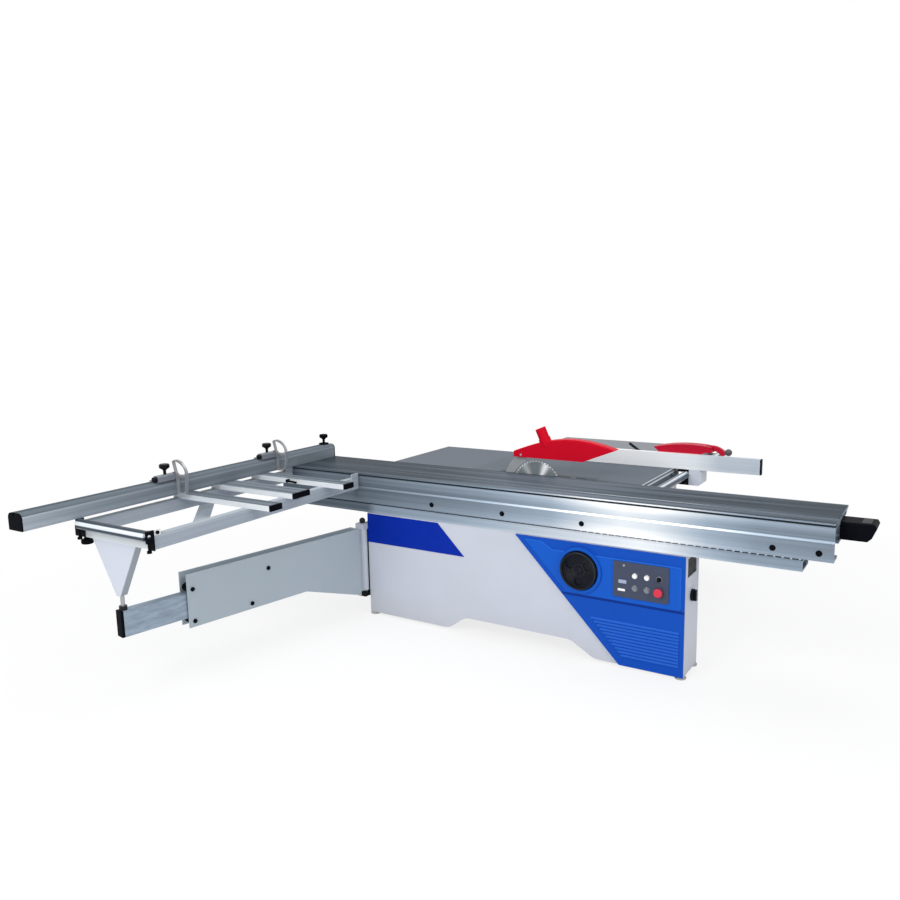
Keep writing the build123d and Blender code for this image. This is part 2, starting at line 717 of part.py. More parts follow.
def saw_frame():
    """Folded frame behind the cabinet: two wings, two sides and a louvred back with the dust port."""
    outside = [
        (CABINET_LEFT, CABINET_BACK), (-FRAME_HALF, CABINET_BACK), (-FRAME_HALF, FRAME_BACK),
        (FRAME_HALF, FRAME_BACK), (FRAME_HALF, CABINET_BACK), (CABINET_RIGHT, CABINET_BACK),
        (CABINET_RIGHT, CABINET_BACK + SHEET), (FRAME_HALF + SHEET, CABINET_BACK + SHEET),
        (FRAME_HALF + SHEET, FRAME_BACK + SHEET), (-FRAME_HALF - SHEET, FRAME_BACK + SHEET),
        (-FRAME_HALF - SHEET, CABINET_BACK + SHEET), (CABINET_LEFT, CABINET_BACK + SHEET),
    ]
    frame = along_z(outside, FOOT_HEIGHT, MAIN_BOTTOM)
    wing_top = CABINET_TOP - SHEET
    for low, high in ((CABINET_LEFT - 1, -FRAME_HALF - SHEET), (FRAME_HALF + SHEET, CABINET_RIGHT + 1)):
        frame -= block((low, CABINET_BACK - 1, wing_top), (high, CABINET_BACK + SHEET + 1, MAIN_BOTTOM + 1))
    for number in range(LOUVRE_COUNT):
        z = LOUVRE_BOTTOM + number * LOUVRE_PITCH
        frame -= block(
            (LOUVRE_X - LOUVRE_LENGTH / 2, FRAME_BACK - 1, z),
            (LOUVRE_X + LOUVRE_LENGTH / 2, FRAME_BACK + SHEET + 1, z + LOUVRE_GAP),
        )
    start = (DUST_PORT_X, FRAME_BACK, DUST_PORT_Z)
    end = (DUST_PORT_X, FRAME_BACK + SHEET + DUST_PORT_LENGTH, DUST_PORT_Z)
    frame += rod(start, end, DUST_PORT_RADIUS)
    inner_start = (DUST_PORT_X, FRAME_BACK - 1, DUST_PORT_Z)
    inner_end = (DUST_PORT_X, FRAME_BACK + SHEET + DUST_PORT_LENGTH + 1, DUST_PORT_Z)
    frame -= rod(inner_start, inner_end, DUST_PORT_RADIUS - DUST_PORT_WALL)
    return frame


def levelling_feet():
    """Round feet under the cabinet's corners and under the saw frame's back corners."""
    left = CABINET_LEFT + FOOT_INSET
    right = CABINET_RIGHT - FOOT_INSET
    spots = [
        (left, CABINET_FRONT + FOOT_INSET), (right, CABINET_FRONT + FOOT_INSET),
        (left, CABINET_BACK - FOOT_INSET / 2), (right, CABINET_BACK - FOOT_INSET / 2),
        (-FRAME_HALF + FOOT_INSET, FRAME_BACK - FOOT_INSET),
        (FRAME_HALF - FOOT_INSET, FRAME_BACK - FOOT_INSET),
    ]
    feet = []
    for x, y in spots:
        pad = Pos(x, y, FOOT_HEIGHT / 4) * Cylinder(FOOT_RADIUS, FOOT_HEIGHT / 2)
        top = Pos(x, y, FOOT_HEIGHT * 0.75) * Cylinder(FOOT_RADIUS * 0.85, FOOT_HEIGHT / 2)
        feet.append(pad + top)
    return group(*feet)


def isolator_knob():
    """Rotary main switch on the right end: a round base with a grip bar and its stem."""
    face = CABINET_RIGHT + TURN_GAP
    base_end = face + ISOLATOR_LENGTH / 2
    knob = rod((face, ISOLATOR_Y, ISOLATOR_Z), (base_end, ISOLATOR_Y, ISOLATOR_Z), ISOLATOR_RADIUS)
    half = ISOLATOR_RADIUS * 0.3
    grip = block(
        (base_end, ISOLATOR_Y - half, ISOLATOR_Z - ISOLATOR_RADIUS * 0.9),
        (face + ISOLATOR_LENGTH, ISOLATOR_Y + half, ISOLATOR_Z + ISOLATOR_RADIUS * 0.9),
    )
    stem_end = CABINET_RIGHT - 3 * SHEET
    stem = rod((stem_end, ISOLATOR_Y, ISOLATOR_Z), (face, ISOLATOR_Y, ISOLATOR_Z), ISOLATOR_STEM)
    return knob + grip + stem


# Fascia and controls

def fascia_edge(height):
    """Where the fascia's slanted left edge lies at a height."""
    share = (FASCIA_TOP - height) / (FASCIA_TOP - FOOT_HEIGHT)
    return FASCIA_TOP_X + share * (FASCIA_BOTTOM_X - FASCIA_TOP_X)


def blue_fascia():
    """Moulded panel with a raised upper field, ribs below it, the wheel's bowl and a switch pocket."""
    right = CABINET_RIGHT
    outline = [
        (FASCIA_TOP_X, FASCIA_TOP), (FASCIA_BOTTOM_X, FOOT_HEIGHT), (right, FOOT_HEIGHT), (right, FASCIA_TOP)
    ]
    panel = along_y(outline, FASCIA_FACE, CABINET_FRONT)
    field_outline = [
        (fascia_edge(RELIEF_CORNER_TOP) + RELIEF_INSET, RELIEF_CORNER_TOP),
        (fascia_edge(RELIEF_BOTTOM) + RELIEF_INSET, RELIEF_BOTTOM),
        (right - RELIEF_END, RELIEF_BOTTOM), (right - RELIEF_END, RELIEF_TOP),
        (RELIEF_STEP_RIGHT, RELIEF_TOP), (RELIEF_STEP_LEFT, RELIEF_CORNER_TOP),
    ]
    field = along_y(field_outline, RELIEF_FACE, FASCIA_FACE)
    panel += chamfer(field.faces().sort_by(Axis.Y)[0].edges(), RELIEF_BEVEL)
    for number in range(RIB_COUNT):
        z = RIB_TOP - number * RIB_PITCH
        rib = [
            (FASCIA_FACE, z - RIB_HEIGHT), (FASCIA_FACE, z), (FASCIA_FACE - RIB_DEPTH, z - RIB_HEIGHT * 0.7),
            (FASCIA_FACE - RIB_DEPTH, z - RIB_HEIGHT),
        ]
        panel += along_x(rib, fascia_edge(z) + RIB_INSET, right - RIB_END)
    bowl = WHEEL_RADIUS + BEZEL_GAP
    bezel_face = RELIEF_FACE - BEZEL_HEIGHT
    panel += rod((WHEEL_X, bezel_face, WHEEL_Z), (WHEEL_X, FASCIA_FACE, WHEEL_Z), BEZEL_RADIUS)
    floor = RELIEF_FACE + BEZEL_SINK
    panel -= rod((WHEEL_X, bezel_face - 1, WHEEL_Z), (WHEEL_X, floor, WHEEL_Z), bowl)
    hole = SHAFT_RADIUS + TURN_GAP
    panel -= rod((WHEEL_X, floor - 1, WHEEL_Z), (WHEEL_X, CABINET_FRONT + 1, WHEEL_Z), hole)
    panel -= block(
        (PLATE_LEFT + POCKET_INSET, RELIEF_FACE - 1, PLATE_BOTTOM + POCKET_INSET),
        (PLATE_LEFT + PLATE_WIDTH - POCKET_INSET, RELIEF_FACE + POCKET_DEPTH,
         PLATE_BOTTOM + PLATE_HEIGHT - POCKET_INSET),
    )
    return panel


def label_panel():
    """Flat blue sheet at the cabinet's left, cut off on a slant."""
    top = FASCIA_TOP
    bottom = top - LABEL_HEIGHT
    outline = [
        (CABINET_LEFT, bottom), (CABINET_LEFT + LABEL_BOTTOM_LENGTH, bottom),
        (CABINET_LEFT + LABEL_TOP_LENGTH, top), (CABINET_LEFT, top),
    ]
    return along_y(outline, CABINET_FRONT - LABEL_THICK, CABINET_FRONT)


def button_spot(column, row):
    """Centre of a switch on the control plate, as x and z."""
    return BUTTON_X + column * BUTTON_PITCH_X, BUTTON_Z + row * BUTTON_PITCH_Z


def control_plate():
    """Switch plate over the fascia's pocket, with a hole for each switch and a lamp."""
    plate = block(
        (PLATE_LEFT, PLATE_FACE, PLATE_BOTTOM),
        (PLATE_LEFT + PLATE_WIDTH, RELIEF_FACE, PLATE_BOTTOM + PLATE_HEIGHT),
    )
    plate = fillet(plate.edges().filter_by(Axis.Y), PLATE_ROUND)
    for column in range(3):
        for row in range(2):
            x, z = button_spot(column, row)
            plate -= rod((x, PLATE_FACE - 1, z), (x, RELIEF_FACE + 1, z), BUTTON_RADIUS + TURN_GAP)
    lamp_x = (PLATE_LEFT + BUTTON_X) / 2
    lamp_z = PLATE_BOTTOM + PLATE_HEIGHT - POCKET_INSET
    plate += rod((lamp_x, PLATE_FACE - LAMP_PROUD, lamp_z), (lamp_x, PLATE_FACE, lamp_z), LAMP_RADIUS)
    return plate


def push_button(column, row):
    """Round push button, a plain cap that runs through the plate."""
    x, z = button_spot(column, row)
    return rod((x, PLATE_FACE - BUTTON_PROUD, z), (x, RELIEF_FACE + BUTTON_INSIDE, z), BUTTON_RADIUS)


def selector_knob():
    """Turning selector with a raised grip bar."""
    x, z = button_spot(2, 1)
    knob = push_button(2, 1)
    half = BUTTON_RADIUS * 0.3
    reach = BUTTON_RADIUS * 0.85
    return knob + block(
        (x - half, PLATE_FACE - 2 * BUTTON_PROUD, z - reach), (x + half, PLATE_FACE - BUTTON_PROUD, z + reach)
    )


def emergency_stop():
    """Mushroom head on a neck that runs through the plate."""
    x, z = button_spot(2, 0)
    neck_front = PLATE_FACE - STOP_NECK
    neck = rod((x, neck_front, z), (x, RELIEF_FACE + BUTTON_INSIDE, z), BUTTON_RADIUS)
    head = rod((x, neck_front - STOP_HEAD_THICK, z), (x, neck_front, z), STOP_HEAD_RADIUS)
    front_edge = head.edges().sort_by(Axis.Y)[0]
    return fillet(front_edge, STOP_HEAD_THICK / 2) + neck


def handwheel():
    """Dished wheel with three round hollows in its web, turned with its shaft in one piece."""
    back = RELIEF_FACE + BEZEL_SINK - WHEEL_STAND_OFF
    front = back - WHEEL_DEPTH
    inner = WHEEL_RADIUS - WHEEL_RIM
    rim = rod((WHEEL_X, front, WHEEL_Z), (WHEEL_X, back, WHEEL_Z), WHEEL_RADIUS)
    rim = fillet(rim.edges(), WHEEL_RIM * 0.45)
    rim -= rod((WHEEL_X, front - 1, WHEEL_Z), (WHEEL_X, back + 1, WHEEL_Z), inner)
    web_face = back - WHEEL_WEB
    web = rod((WHEEL_X, web_face, WHEEL_Z), (WHEEL_X, back, WHEEL_Z), inner)
    hollow_reach = (inner + WHEEL_HUB) / 2
    for number in range(3):
        angle = radians(90 + 120 * number + 60)
        x = WHEEL_X + hollow_reach * cos(angle)
        z = WHEEL_Z + hollow_reach * sin(angle)
        web -= rod((x, web_face - 1, z), (x, web_face + WHEEL_HOLLOW_DEPTH, z), WHEEL_HOLLOW)
    hub = rod((WHEEL_X, front + WHEEL_HUB_SINK, WHEEL_Z), (WHEEL_X, back, WHEEL_Z), WHEEL_HUB)
    shaft_end = CABINET_FRONT + SHEET + GEARBOX_DEPTH / 2
    shaft = rod((WHEEL_X, back, WHEEL_Z), (WHEEL_X, shaft_end, WHEEL_Z), SHAFT_RADIUS)
    return rim + web + hub + shaft


# Tables

def main_table():
    """Ribbed iron casting, open underneath and cut away beside the blade."""
    table = block((MAIN_LEFT, MAIN_FRONT, MAIN_BOTTOM), (MAIN_RIGHT, MAIN_BACK, TABLE_TOP))
    under = TABLE_TOP - MAIN_PLATE
    low = MAIN_BOTTOM - 1
    rim = MAIN_RIM
    front = MAIN_FRONT + rim
    back = MAIN_BACK - rim
    bay = SAW_BAY_HALF
    table -= block((-bay, MAIN_FRONT - 1, low), (bay, SAW_BAY_BACK, under))
    table -= block((-bay, SAW_BAY_BACK + rim, low), (-rim / 2, back, under))
    table -= block((rim / 2, SAW_BAY_BACK + rim, low), (bay, back, under))
    middle = (MAIN_FRONT + MAIN_BACK) / 2
    for start, end in ((front, middle - rim / 2), (middle + rim / 2, back)):
        table -= block((MAIN_LEFT + rim, start, low), (-bay - rim, end, under))
        table -= block((bay + rim, start, low), (MAIN_RIGHT - rim, end, under))
    insert_right = INSERT_LEFT + INSERT_LENGTH
    table -= block(
        (INSERT_LEFT, MAIN_FRONT - 1, TABLE_TOP - INSERT_THICK),
        (insert_right, MAIN_FRONT + INSERT_WIDTH, TABLE_TOP + 1),
    )
    table -= block(
        (INSERT_LEFT + INSERT_LEDGE, MAIN_FRONT - 1, low),
        (insert_right - INSERT_LEDGE, MAIN_FRONT + INSERT_WIDTH - INSERT_LEDGE, TABLE_TOP),
    )
    return table


def table_insert():
    """Thin strip beside the carriage with one slot for both blades and the riving knife."""
    strip = block(
        (INSERT_LEFT + SLIDE_GAP, MAIN_FRONT, TABLE_TOP - INSERT_THICK),
        (INSERT_LEFT + INSERT_LENGTH - SLIDE_GAP, MAIN_FRONT + INSERT_WIDTH - SLIDE_GAP, TABLE_TOP),
    )
    strip -= block(
        (SLOT_LEFT, BLADE_Y - SLOT_FRONT, TABLE_TOP - INSERT_THICK - 1),
        (SLOT_LEFT + SLOT_LENGTH, BLADE_Y + SLOT_BACK, TABLE_TOP + 1),
    )
    return strip


def folded_table(left, right, front, back, depth):
    """Sheet top with a folded rim all round and a stiffening rib."""
    top = block((left, front, TABLE_TOP - depth), (right, back, TABLE_TOP))
    middle = (front + back) / 2
    low = TABLE_TOP - depth - 1
    under = TABLE_TOP - FOLD
    for start, end in ((front + FOLD, middle - FOLD / 2), (middle + FOLD / 2, back - FOLD)):
        top -= block((left + FOLD, start, low), (right - FOLD, end, under))
    return top


def rear_table():
    """Outfeed table on the main table's far end."""
    return folded_table(MAIN_LEFT - REAR_LENGTH, MAIN_LEFT, MAIN_FRONT, MAIN_BACK, REAR_DEPTH)


def side_table():
    """Rip table beside the main table."""
    return folded_table(MAIN_LEFT, MAIN_RIGHT, MAIN_BACK, MAIN_BACK + SIDE_WIDTH, SIDE_DEPTH)


def table_struts():
    """Slanted tubes from the saw frame up to the side table and the outfeed table."""
    struts = []
    wall = FRAME_BACK + SHEET
    top = TABLE_TOP - SIDE_DEPTH
    outline = [
        (wall, STRUT_FOOT_Z), (wall, STRUT_FOOT_Z + STRUT_SIZE),
        (wall + STRUT_REACH - STRUT_SIZE, top), (wall + STRUT_REACH, top),
    ]
    for x in (-STRUT_X, STRUT_X):
        struts.append(along_x(outline, x - STRUT_SIZE / 2, x + STRUT_SIZE / 2))
    wall = -FRAME_HALF - SHEET
    top = TABLE_TOP - REAR_DEPTH
    outline = [
        (wall, REAR_STRUT_FOOT_Z), (wall, REAR_STRUT_FOOT_Z + STRUT_SIZE),
        (wall - REAR_STRUT_REACH + STRUT_SIZE, top), (wall - REAR_STRUT_REACH, top),
    ]
    for y in (REAR_STRUT_Y, REAR_STRUT_Y + REAR_STRUT_PITCH):
        struts.append(along_y(outline, y - STRUT_SIZE / 2, y + STRUT_SIZE / 2))
    return group(*struts)


# Rip fence

def rip_rail():
    """Round bar on short feet ahead of the main and side tables."""
    z = TABLE_TOP - RAIL_DROP
    rail = rod((RAIL_X, RAIL_FRONT, z), (RAIL_X, RAIL_FRONT + RAIL_LENGTH, z), RAIL_RADIUS)
    foot_count = int((RAIL_LENGTH - 2 * RAIL_FOOT_FIRST) // RAIL_FOOT_PITCH) + 1
    for number in range(foot_count):
        y = RAIL_FRONT + RAIL_FOOT_FIRST + number * RAIL_FOOT_PITCH
        rail += block(
            (MAIN_RIGHT, y - RAIL_FOOT_WIDTH / 2, z - RAIL_FOOT_HEIGHT / 2),
            (RAIL_X, y + RAIL_FOOT_WIDTH / 2, z + RAIL_FOOT_HEIGHT / 2),
        )
    return rail


def rip_slider():
    """Cast saddle on the round rail, open towards the rail's feet, and the fence's own clamp lever."""
    z = TABLE_TOP - RAIL_DROP
    front = RIP_FACE_Y
    back = RIP_FACE_Y + SLIDER_LENGTH
    top = TABLE_TOP + REST_GAP
    saddle = block(
        (RAIL_X - SLIDER_FRONT, front, TABLE_TOP - SLIDER_BOTTOM), (RAIL_X + SLIDER_BACK, back, top)
    )
    saddle -= rod((RAIL_X, front - 1, z), (RAIL_X, back + 1, z), RAIL_RADIUS + TURN_GAP)
    saddle -= block(
        (RAIL_X - SLIDER_FRONT - 1, front - 1, z - SLIDER_MOUTH / 2), (RAIL_X, back + 1, z + SLIDER_MOUTH / 2)
    )
    corner = saddle.edges().filter_by(Axis.Y).sort_by(Axis.X)[-2:]
    saddle = fillet(corner, SLIDER_BOTTOM / 5)
    fence_back = RIP_FACE_Y + RIP_THICK
    hub_z = top + RIP_HEIGHT - RIP_CLAMP_DROP
    hub_end = fence_back + RIP_CLAMP_DEPTH
    lever = rod((RIP_CLAMP_X, fence_back, hub_z), (RIP_CLAMP_X, hub_end, hub_z), RIP_CLAMP_HUB)
    grip_y = hub_end - RIP_CLAMP_GRIP
    grip_end = (RIP_CLAMP_X - RIP_CLAMP_REACH, grip_y, hub_z + RIP_CLAMP_RISE)
    lever += rod((RIP_CLAMP_X, grip_y, hub_z), grip_end, RIP_CLAMP_GRIP)
    lever += Pos(*grip_end) * Sphere(RIP_CLAMP_GRIP)
    return group(saddle, lever)


def rip_profile():
    """Tall hollow fence extrusion with a grooved back."""
    bottom = TABLE_TOP + REST_GAP
    right = RIP_LEFT + RIP_LENGTH
    fence = block((RIP_LEFT, RIP_FACE_Y, bottom), (right, RIP_FACE_Y + RIP_THICK, bottom + RIP_HEIGHT))
    middle = bottom + RIP_HEIGHT / 2
    inner_back = RIP_FACE_Y + RIP_THICK - 3 * RIP_WALL
    lower = (bottom + RIP_WALL, middle - RIP_WALL)
    upper = (middle + RIP_WALL, bottom + RIP_HEIGHT - RIP_WALL)
    for low, high in (lower, upper):
        fence -= block((RIP_LEFT - 1, RIP_FACE_Y + RIP_WALL, low), (right + 1, inner_back, high))
        height = (high - low) / 3
        fence -= block(
            (RIP_LEFT - 1, inner_back + RIP_WALL, low + height),
            (right + 1, RIP_FACE_Y + RIP_THICK + 1, high - height),
        )
    return fence


def rip_casting():
    """Leaf-shaped bracket behind the fence on top of the slider, hollow behind, forked for the lever."""
    bottom = TABLE_TOP + REST_GAP
    top = bottom + CASTING_HEIGHT
    right = CASTING_LEFT + CASTING_LENGTH
    nose = (CASTING_LEFT, top - CASTING_NOSE_DROP)
    crown = (CASTING_LEFT + CASTING_TAPER, top)
    fork_z = top - CASTING_TIP
    shoulder = (right, top - CASTING_TIP / 5)
    fork_corner = (right, fork_z)
    neck = (right - CASTING_TIP, fork_z)
    toe = (CASTING_LEFT + CASTING_BASE_LEFT, bottom)
    heel = (CASTING_LEFT + CASTING_BASE_LEFT + CASTING_BASE, bottom)
    toe_bend = (toe[0] - CASTING_BASE_LEFT / 2, bottom + CASTING_HEIGHT * 0.53)
    heel_bend = (heel[0] + CASTING_WALL, bottom + CASTING_HEIGHT * 0.52)
    face = make_face([
        ThreePointArc(nose, crown, shoulder), Line(shoulder, fork_corner), Line(fork_corner, neck),
        ThreePointArc(neck, heel_bend, heel), Line(heel, toe), ThreePointArc(toe, toe_bend, nose),
    ])
    front = RIP_FACE_Y + RIP_THICK
    back = front + CASTING_THICK
    casting = extrude(Plane.XZ.offset(-front) * face, amount=CASTING_THICK, dir=(0, 1, 0))
    wall = CASTING_WALL
    middle = (toe[0] + heel[0]) / 2
    for low, high in ((toe[0] + wall, middle - wall / 2), (middle + wall / 2, heel[0] - wall)):
        casting -= block((low, front + wall, bottom + wall), (high, back + 1, top - 2 * wall))
    pin_x = right - CASTING_TIP / 2
    pin_z = top - CASTING_TIP / 2
    casting -= rod((pin_x, front - 1, pin_z), (pin_x, back + 1, pin_z), LEVER_PIN + TURN_GAP)
    middle_y = (front + back) / 2
    gap = LEVER_THICK / 2 + SLIDE_GAP
    casting -= block((right - CASTING_TIP, middle_y - gap, fork_z - 1), (right + 1, middle_y + gap, top + 1))
    return casting


def rip_lever():
    """Arched clamp lever with a round end knob, on a pin through the bracket's fork."""
    bottom = TABLE_TOP + REST_GAP
    top = bottom + CASTING_HEIGHT
    front = RIP_FACE_Y + RIP_THICK
    middle_y = front + CASTING_THICK / 2
    pin_x = CASTING_LEFT + CASTING_LENGTH - CASTING_TIP / 2
    pin_z = top - CASTING_TIP / 2
    eye_radius = CASTING_TIP * 0.45
    half = LEVER_THICK / 2
    root_top = (pin_x, pin_z + eye_radius)
    tip = (pin_x + LEVER_REACH, pin_z - LEVER_DROP)
    tip_back = (tip[0] - LEVER_DROP, tip[1] - LEVER_DROP / 2)
    root_bottom = (pin_x, root_top[1] - LEVER_ROOT)
    crown_bend = (pin_x + LEVER_REACH * 0.64, pin_z + LEVER_DROP * 0.2)
    belly_bend = (pin_x + LEVER_REACH * 0.4, pin_z - LEVER_DROP * 0.5)
    face = make_face([
        ThreePointArc(root_top, crown_bend, tip), Line(tip, tip_back),
        ThreePointArc(tip_back, belly_bend, root_bottom), Line(root_bottom, root_top),
    ])
    arm = extrude(Plane.XZ.offset(-(middle_y - half)) * face, amount=LEVER_THICK, dir=(0, 1, 0))
    eye = rod((pin_x, middle_y - half, pin_z), (pin_x, middle_y + half, pin_z), eye_radius)
    pin = rod((pin_x, front, pin_z), (pin_x, front + CASTING_THICK, pin_z), LEVER_PIN)
    knob = Pos(tip[0] + LEVER_KNOB * 0.35, middle_y, tip[1] + LEVER_KNOB * 0.6) * Sphere(LEVER_KNOB)
    return arm + eye + pin + knob


# Saw unit

def toothed_disc(radius, teeth, depth, bore, thick, x, z):
    """Saw plate about a Y axis: each tooth has a steep face, a long back and a gullet."""
    pitch = 2 * pi / teeth
    points = []
    for number in range(teeth):
        start = number * pitch
        root = radius - depth
        shoulder = radius - depth * 0.35
        for share, reach in ((0.0, radius), (0.45, shoulder), (0.6, root), (0.92, root)):
            angle = start + share * pitch
            points.append((x + reach * cos(angle), z + reach * sin(angle)))
    disc = along_y(points, BLADE_Y - thick / 2, BLADE_Y + thick / 2)
    return disc - rod((x, BLADE_Y - thick, z), (x, BLADE_Y + thick, z), bore)


def main_blade():
    """Main saw plate."""
    return toothed_disc(BLADE_RADIUS, BLADE_TEETH, TOOTH_DEPTH, BLADE_BORE, BLADE_THICK, BLADE_X, ARBOR_Z)


def belt_front():
    """Where the belt run starts, behind the arbor's housing."""
    return BLADE_Y + BLADE_THICK / 2 + FLANGE_THICK + TURN_GAP + ARBOR_HOUSING_LENGTH


def saw_arbor():
    """Turned arbor: outer nut and flange, blade seat, inner flange, shaft and grooved pulley."""
    left = BLADE_Y - BLADE_THICK / 2
    right = BLADE_Y + BLADE_THICK / 2
    x, z = BLADE_X, ARBOR_Z
    nut_plane = Plane(origin=(x, left - FLANGE_THICK - NUT_THICK, z), z_dir=(0, 1, 0))
    nut_face = nut_plane * RegularPolygon(NUT_RADIUS, 6)
    arbor = extrude(nut_face, amount=NUT_THICK)
    arbor += rod((x, left - FLANGE_THICK, z), (x, left, z), FLANGE_RADIUS)
    arbor += rod((x, left, z), (x, right, z), BLADE_BORE)
    arbor += rod((x, right, z), (x, right + FLANGE_THICK, z), FLANGE_RADIUS)
    pulley_front = belt_front() + TURN_GAP
    arbor += rod((x, right + FLANGE_THICK, z), (x, pulley_front, z), BLADE_BORE)
    arbor += grooved_pulley(x, z, ARBOR_PULLEY)
    return arbor


def grooved_pulley(x, z, radius):
    """Pulley with two raised edges that keep a flat belt on."""
    front = belt_front() + TURN_GAP
    back = front + PULLEY_WIDTH
    edge = PULLEY_WIDTH / 10
    wheel = rod((x, front, z), (x, back, z), radius)
    wheel += rod((x, front, z), (x, front + edge, z), radius + BELT_THICK)
    wheel += rod((x, back - edge, z), (x, back, z), radius + BELT_THICK)
    return wheel


def motor_pulley():
    """Larger pulley and the motor's shaft stub."""
    z = ARBOR_Z - MOTOR_DROP
    back = belt_front() + TURN_GAP + PULLEY_WIDTH
    stub = rod((MOTOR_X, back, z), (MOTOR_X, carrier_back() + CARRIER_PLATE, z), MOTOR_SHAFT)
    return grooved_pulley(MOTOR_X, z, MOTOR_PULLEY) + stub


def carrier_back():
    """Front face of the carrier's motor plate, behind the pulleys."""
    return belt_front() + PULLEY_WIDTH + 4 * TURN_GAP


def drive_belt():
    """Flat belt round the arbor pulley and the motor pulley."""
    edge = PULLEY_WIDTH / 10
    front = belt_front() + TURN_GAP + edge + TURN_GAP
    back = front + PULLEY_WIDTH - 2 * edge - 2 * TURN_GAP
    motor_z = ARBOR_Z - MOTOR_DROP
    run_x = MOTOR_X - BLADE_X
    span = hypot(run_x, MOTOR_DROP)
    turn = atan2(-MOTOR_DROP, run_x)

    def loop(small, large):
        lean = turn + pi / 2
        slope = (large - small) / span
        tilt = atan2(slope, (1 - slope * slope) ** 0.5)
        corners = []
        for side in (1, -1):
            angle = lean + tilt if side > 0 else lean + pi - tilt
            corners.append(
                ((BLADE_X + small * cos(angle), ARBOR_Z + small * sin(angle)),
                 (MOTOR_X + large * cos(angle), motor_z + large * sin(angle)))
            )
        quad = [corners[0][0], corners[0][1], corners[1][1], corners[1][0]]
        shape = along_y(quad, front, back)
        shape += rod((BLADE_X, front, ARBOR_Z), (BLADE_X, back, ARBOR_Z), small)
        shape += rod((MOTOR_X, front, motor_z), (MOTOR_X, back, motor_z), large)
        return shape

    outer = loop(ARBOR_PULLEY + BELT_THICK - TURN_GAP, MOTOR_PULLEY + BELT_THICK - TURN_GAP)
    return outer - loop(ARBOR_PULLEY + TURN_GAP, MOTOR_PULLEY + TURN_GAP)


def lift_carrier():
    """Carrier that rides on two columns: arbor housing, joining web, motor plate and knife arm."""
    x, z = BLADE_X, ARBOR_Z
    motor_z = ARBOR_Z - MOTOR_DROP
    housing_front = BLADE_Y + BLADE_THICK / 2 + FLANGE_THICK + TURN_GAP
    housing_back = belt_front()
    plate_front = carrier_back()
    plate_back = plate_front + CARRIER_PLATE
    left = -COLUMN_X - COLUMN_BOSS
    right = COLUMN_X + COLUMN_BOSS
    boss_low = motor_z - MOTOR_RADIUS
    boss_high = ARBOR_Z - ARBOR_HOUSING - CARRIER_PLATE
    carrier = rod((x, housing_front, z), (x, housing_back, z), ARBOR_HOUSING)
    arm_left = left + COLUMN_BOSS
    arm_right = x - BLADE_RADIUS * 0.55
    arm_low = z - CARRIER_ARM
    arm_back = housing_front + CARRIER_ARM
    carrier += block((arm_left, housing_front, arm_low), (x, arm_back, z + CARRIER_ARM_RISE))
    carrier += block((arm_left, housing_front, arm_low - CARRIER_ARM), (arm_right, plate_back, arm_low))
    plate = block((left, plate_front, boss_low), (right, plate_back, boss_high))
    plate += block((arm_left, plate_front, boss_high), (arm_right, plate_back, arm_low))
    column_y = plate_back + COLUMN_BOSS
    for column in (-COLUMN_X, COLUMN_X):
        plate += block(
            (column - COLUMN_BOSS, plate_back, boss_low),
            (column + COLUMN_BOSS, column_y + COLUMN_BOSS, boss_high),
        )
    for column in (-COLUMN_X, COLUMN_X):
        bore = COLUMN_RADIUS + TURN_GAP
        plate -= rod((column, column_y, boss_low - 1), (column, column_y, boss_high + 1), bore)
    shaft_hole = MOTOR_SHAFT + TURN_GAP
    plate -= rod((MOTOR_X, plate_front - 1, motor_z), (MOTOR_X, plate_back + 1, motor_z), shaft_hole)
    plate -= rod((x, plate_front - 1, z), (x, plate_back + 1, z), ARBOR_PULLEY + 2 * BELT_THICK)
    carrier += plate
    carrier -= rod((x, housing_front - 1, z), (x, housing_back + 1, z), BLADE_BORE + TURN_GAP)
    holder_left = x - BLADE_RADIUS - KNIFE_GAP - KNIFE_WIDTH
    knife_back = BLADE_Y + KNIFE_THICK / 2
    holder_right = x - BLADE_RADIUS - KNIFE_GAP / 2
    holder_top = arm_low + KNIFE_HOLDER
    holder_inner = arm_left + CARRIER_ARM + CARRIER_ARM_RISE
    carrier += block((holder_left, knife_back, arm_low), (holder_right, arm_back, holder_top))
    carrier += block((holder_right, housing_front, arm_low), (holder_inner, arm_back, holder_top))
    return carrier


def main_motor():
    """Finned motor bolted to the carrier's plate, with its fan cover."""
    z = ARBOR_Z - MOTOR_DROP
    front = carrier_back() + CARRIER_PLATE
    back = front + MOTOR_LENGTH
    core = rod((MOTOR_X, front, z), (MOTOR_X, back, z), MOTOR_RADIUS - FIN_HEIGHT)
    core += rod((MOTOR_X, front, z), (MOTOR_X, front + 3 * FIN_HEIGHT, z), MOTOR_RADIUS)
    core += rod((MOTOR_X, back - MOTOR_LENGTH / 5, z), (MOTOR_X, back, z), MOTOR_RADIUS)
    for number in range(FIN_COUNT):
        fin = Pos(0, 0, MOTOR_RADIUS / 2) * Box(FIN_THICK, MOTOR_LENGTH - 2, MOTOR_RADIUS - 1)
        core += Pos(MOTOR_X, (front + back) / 2, z) * Rot(0, 360.0 * number / FIN_COUNT, 0) * fin
    core -= rod((MOTOR_X, front - 1, z), (MOTOR_X, front + 2 * FIN_HEIGHT, z), MOTOR_SHAFT + TURN_GAP)
    return core


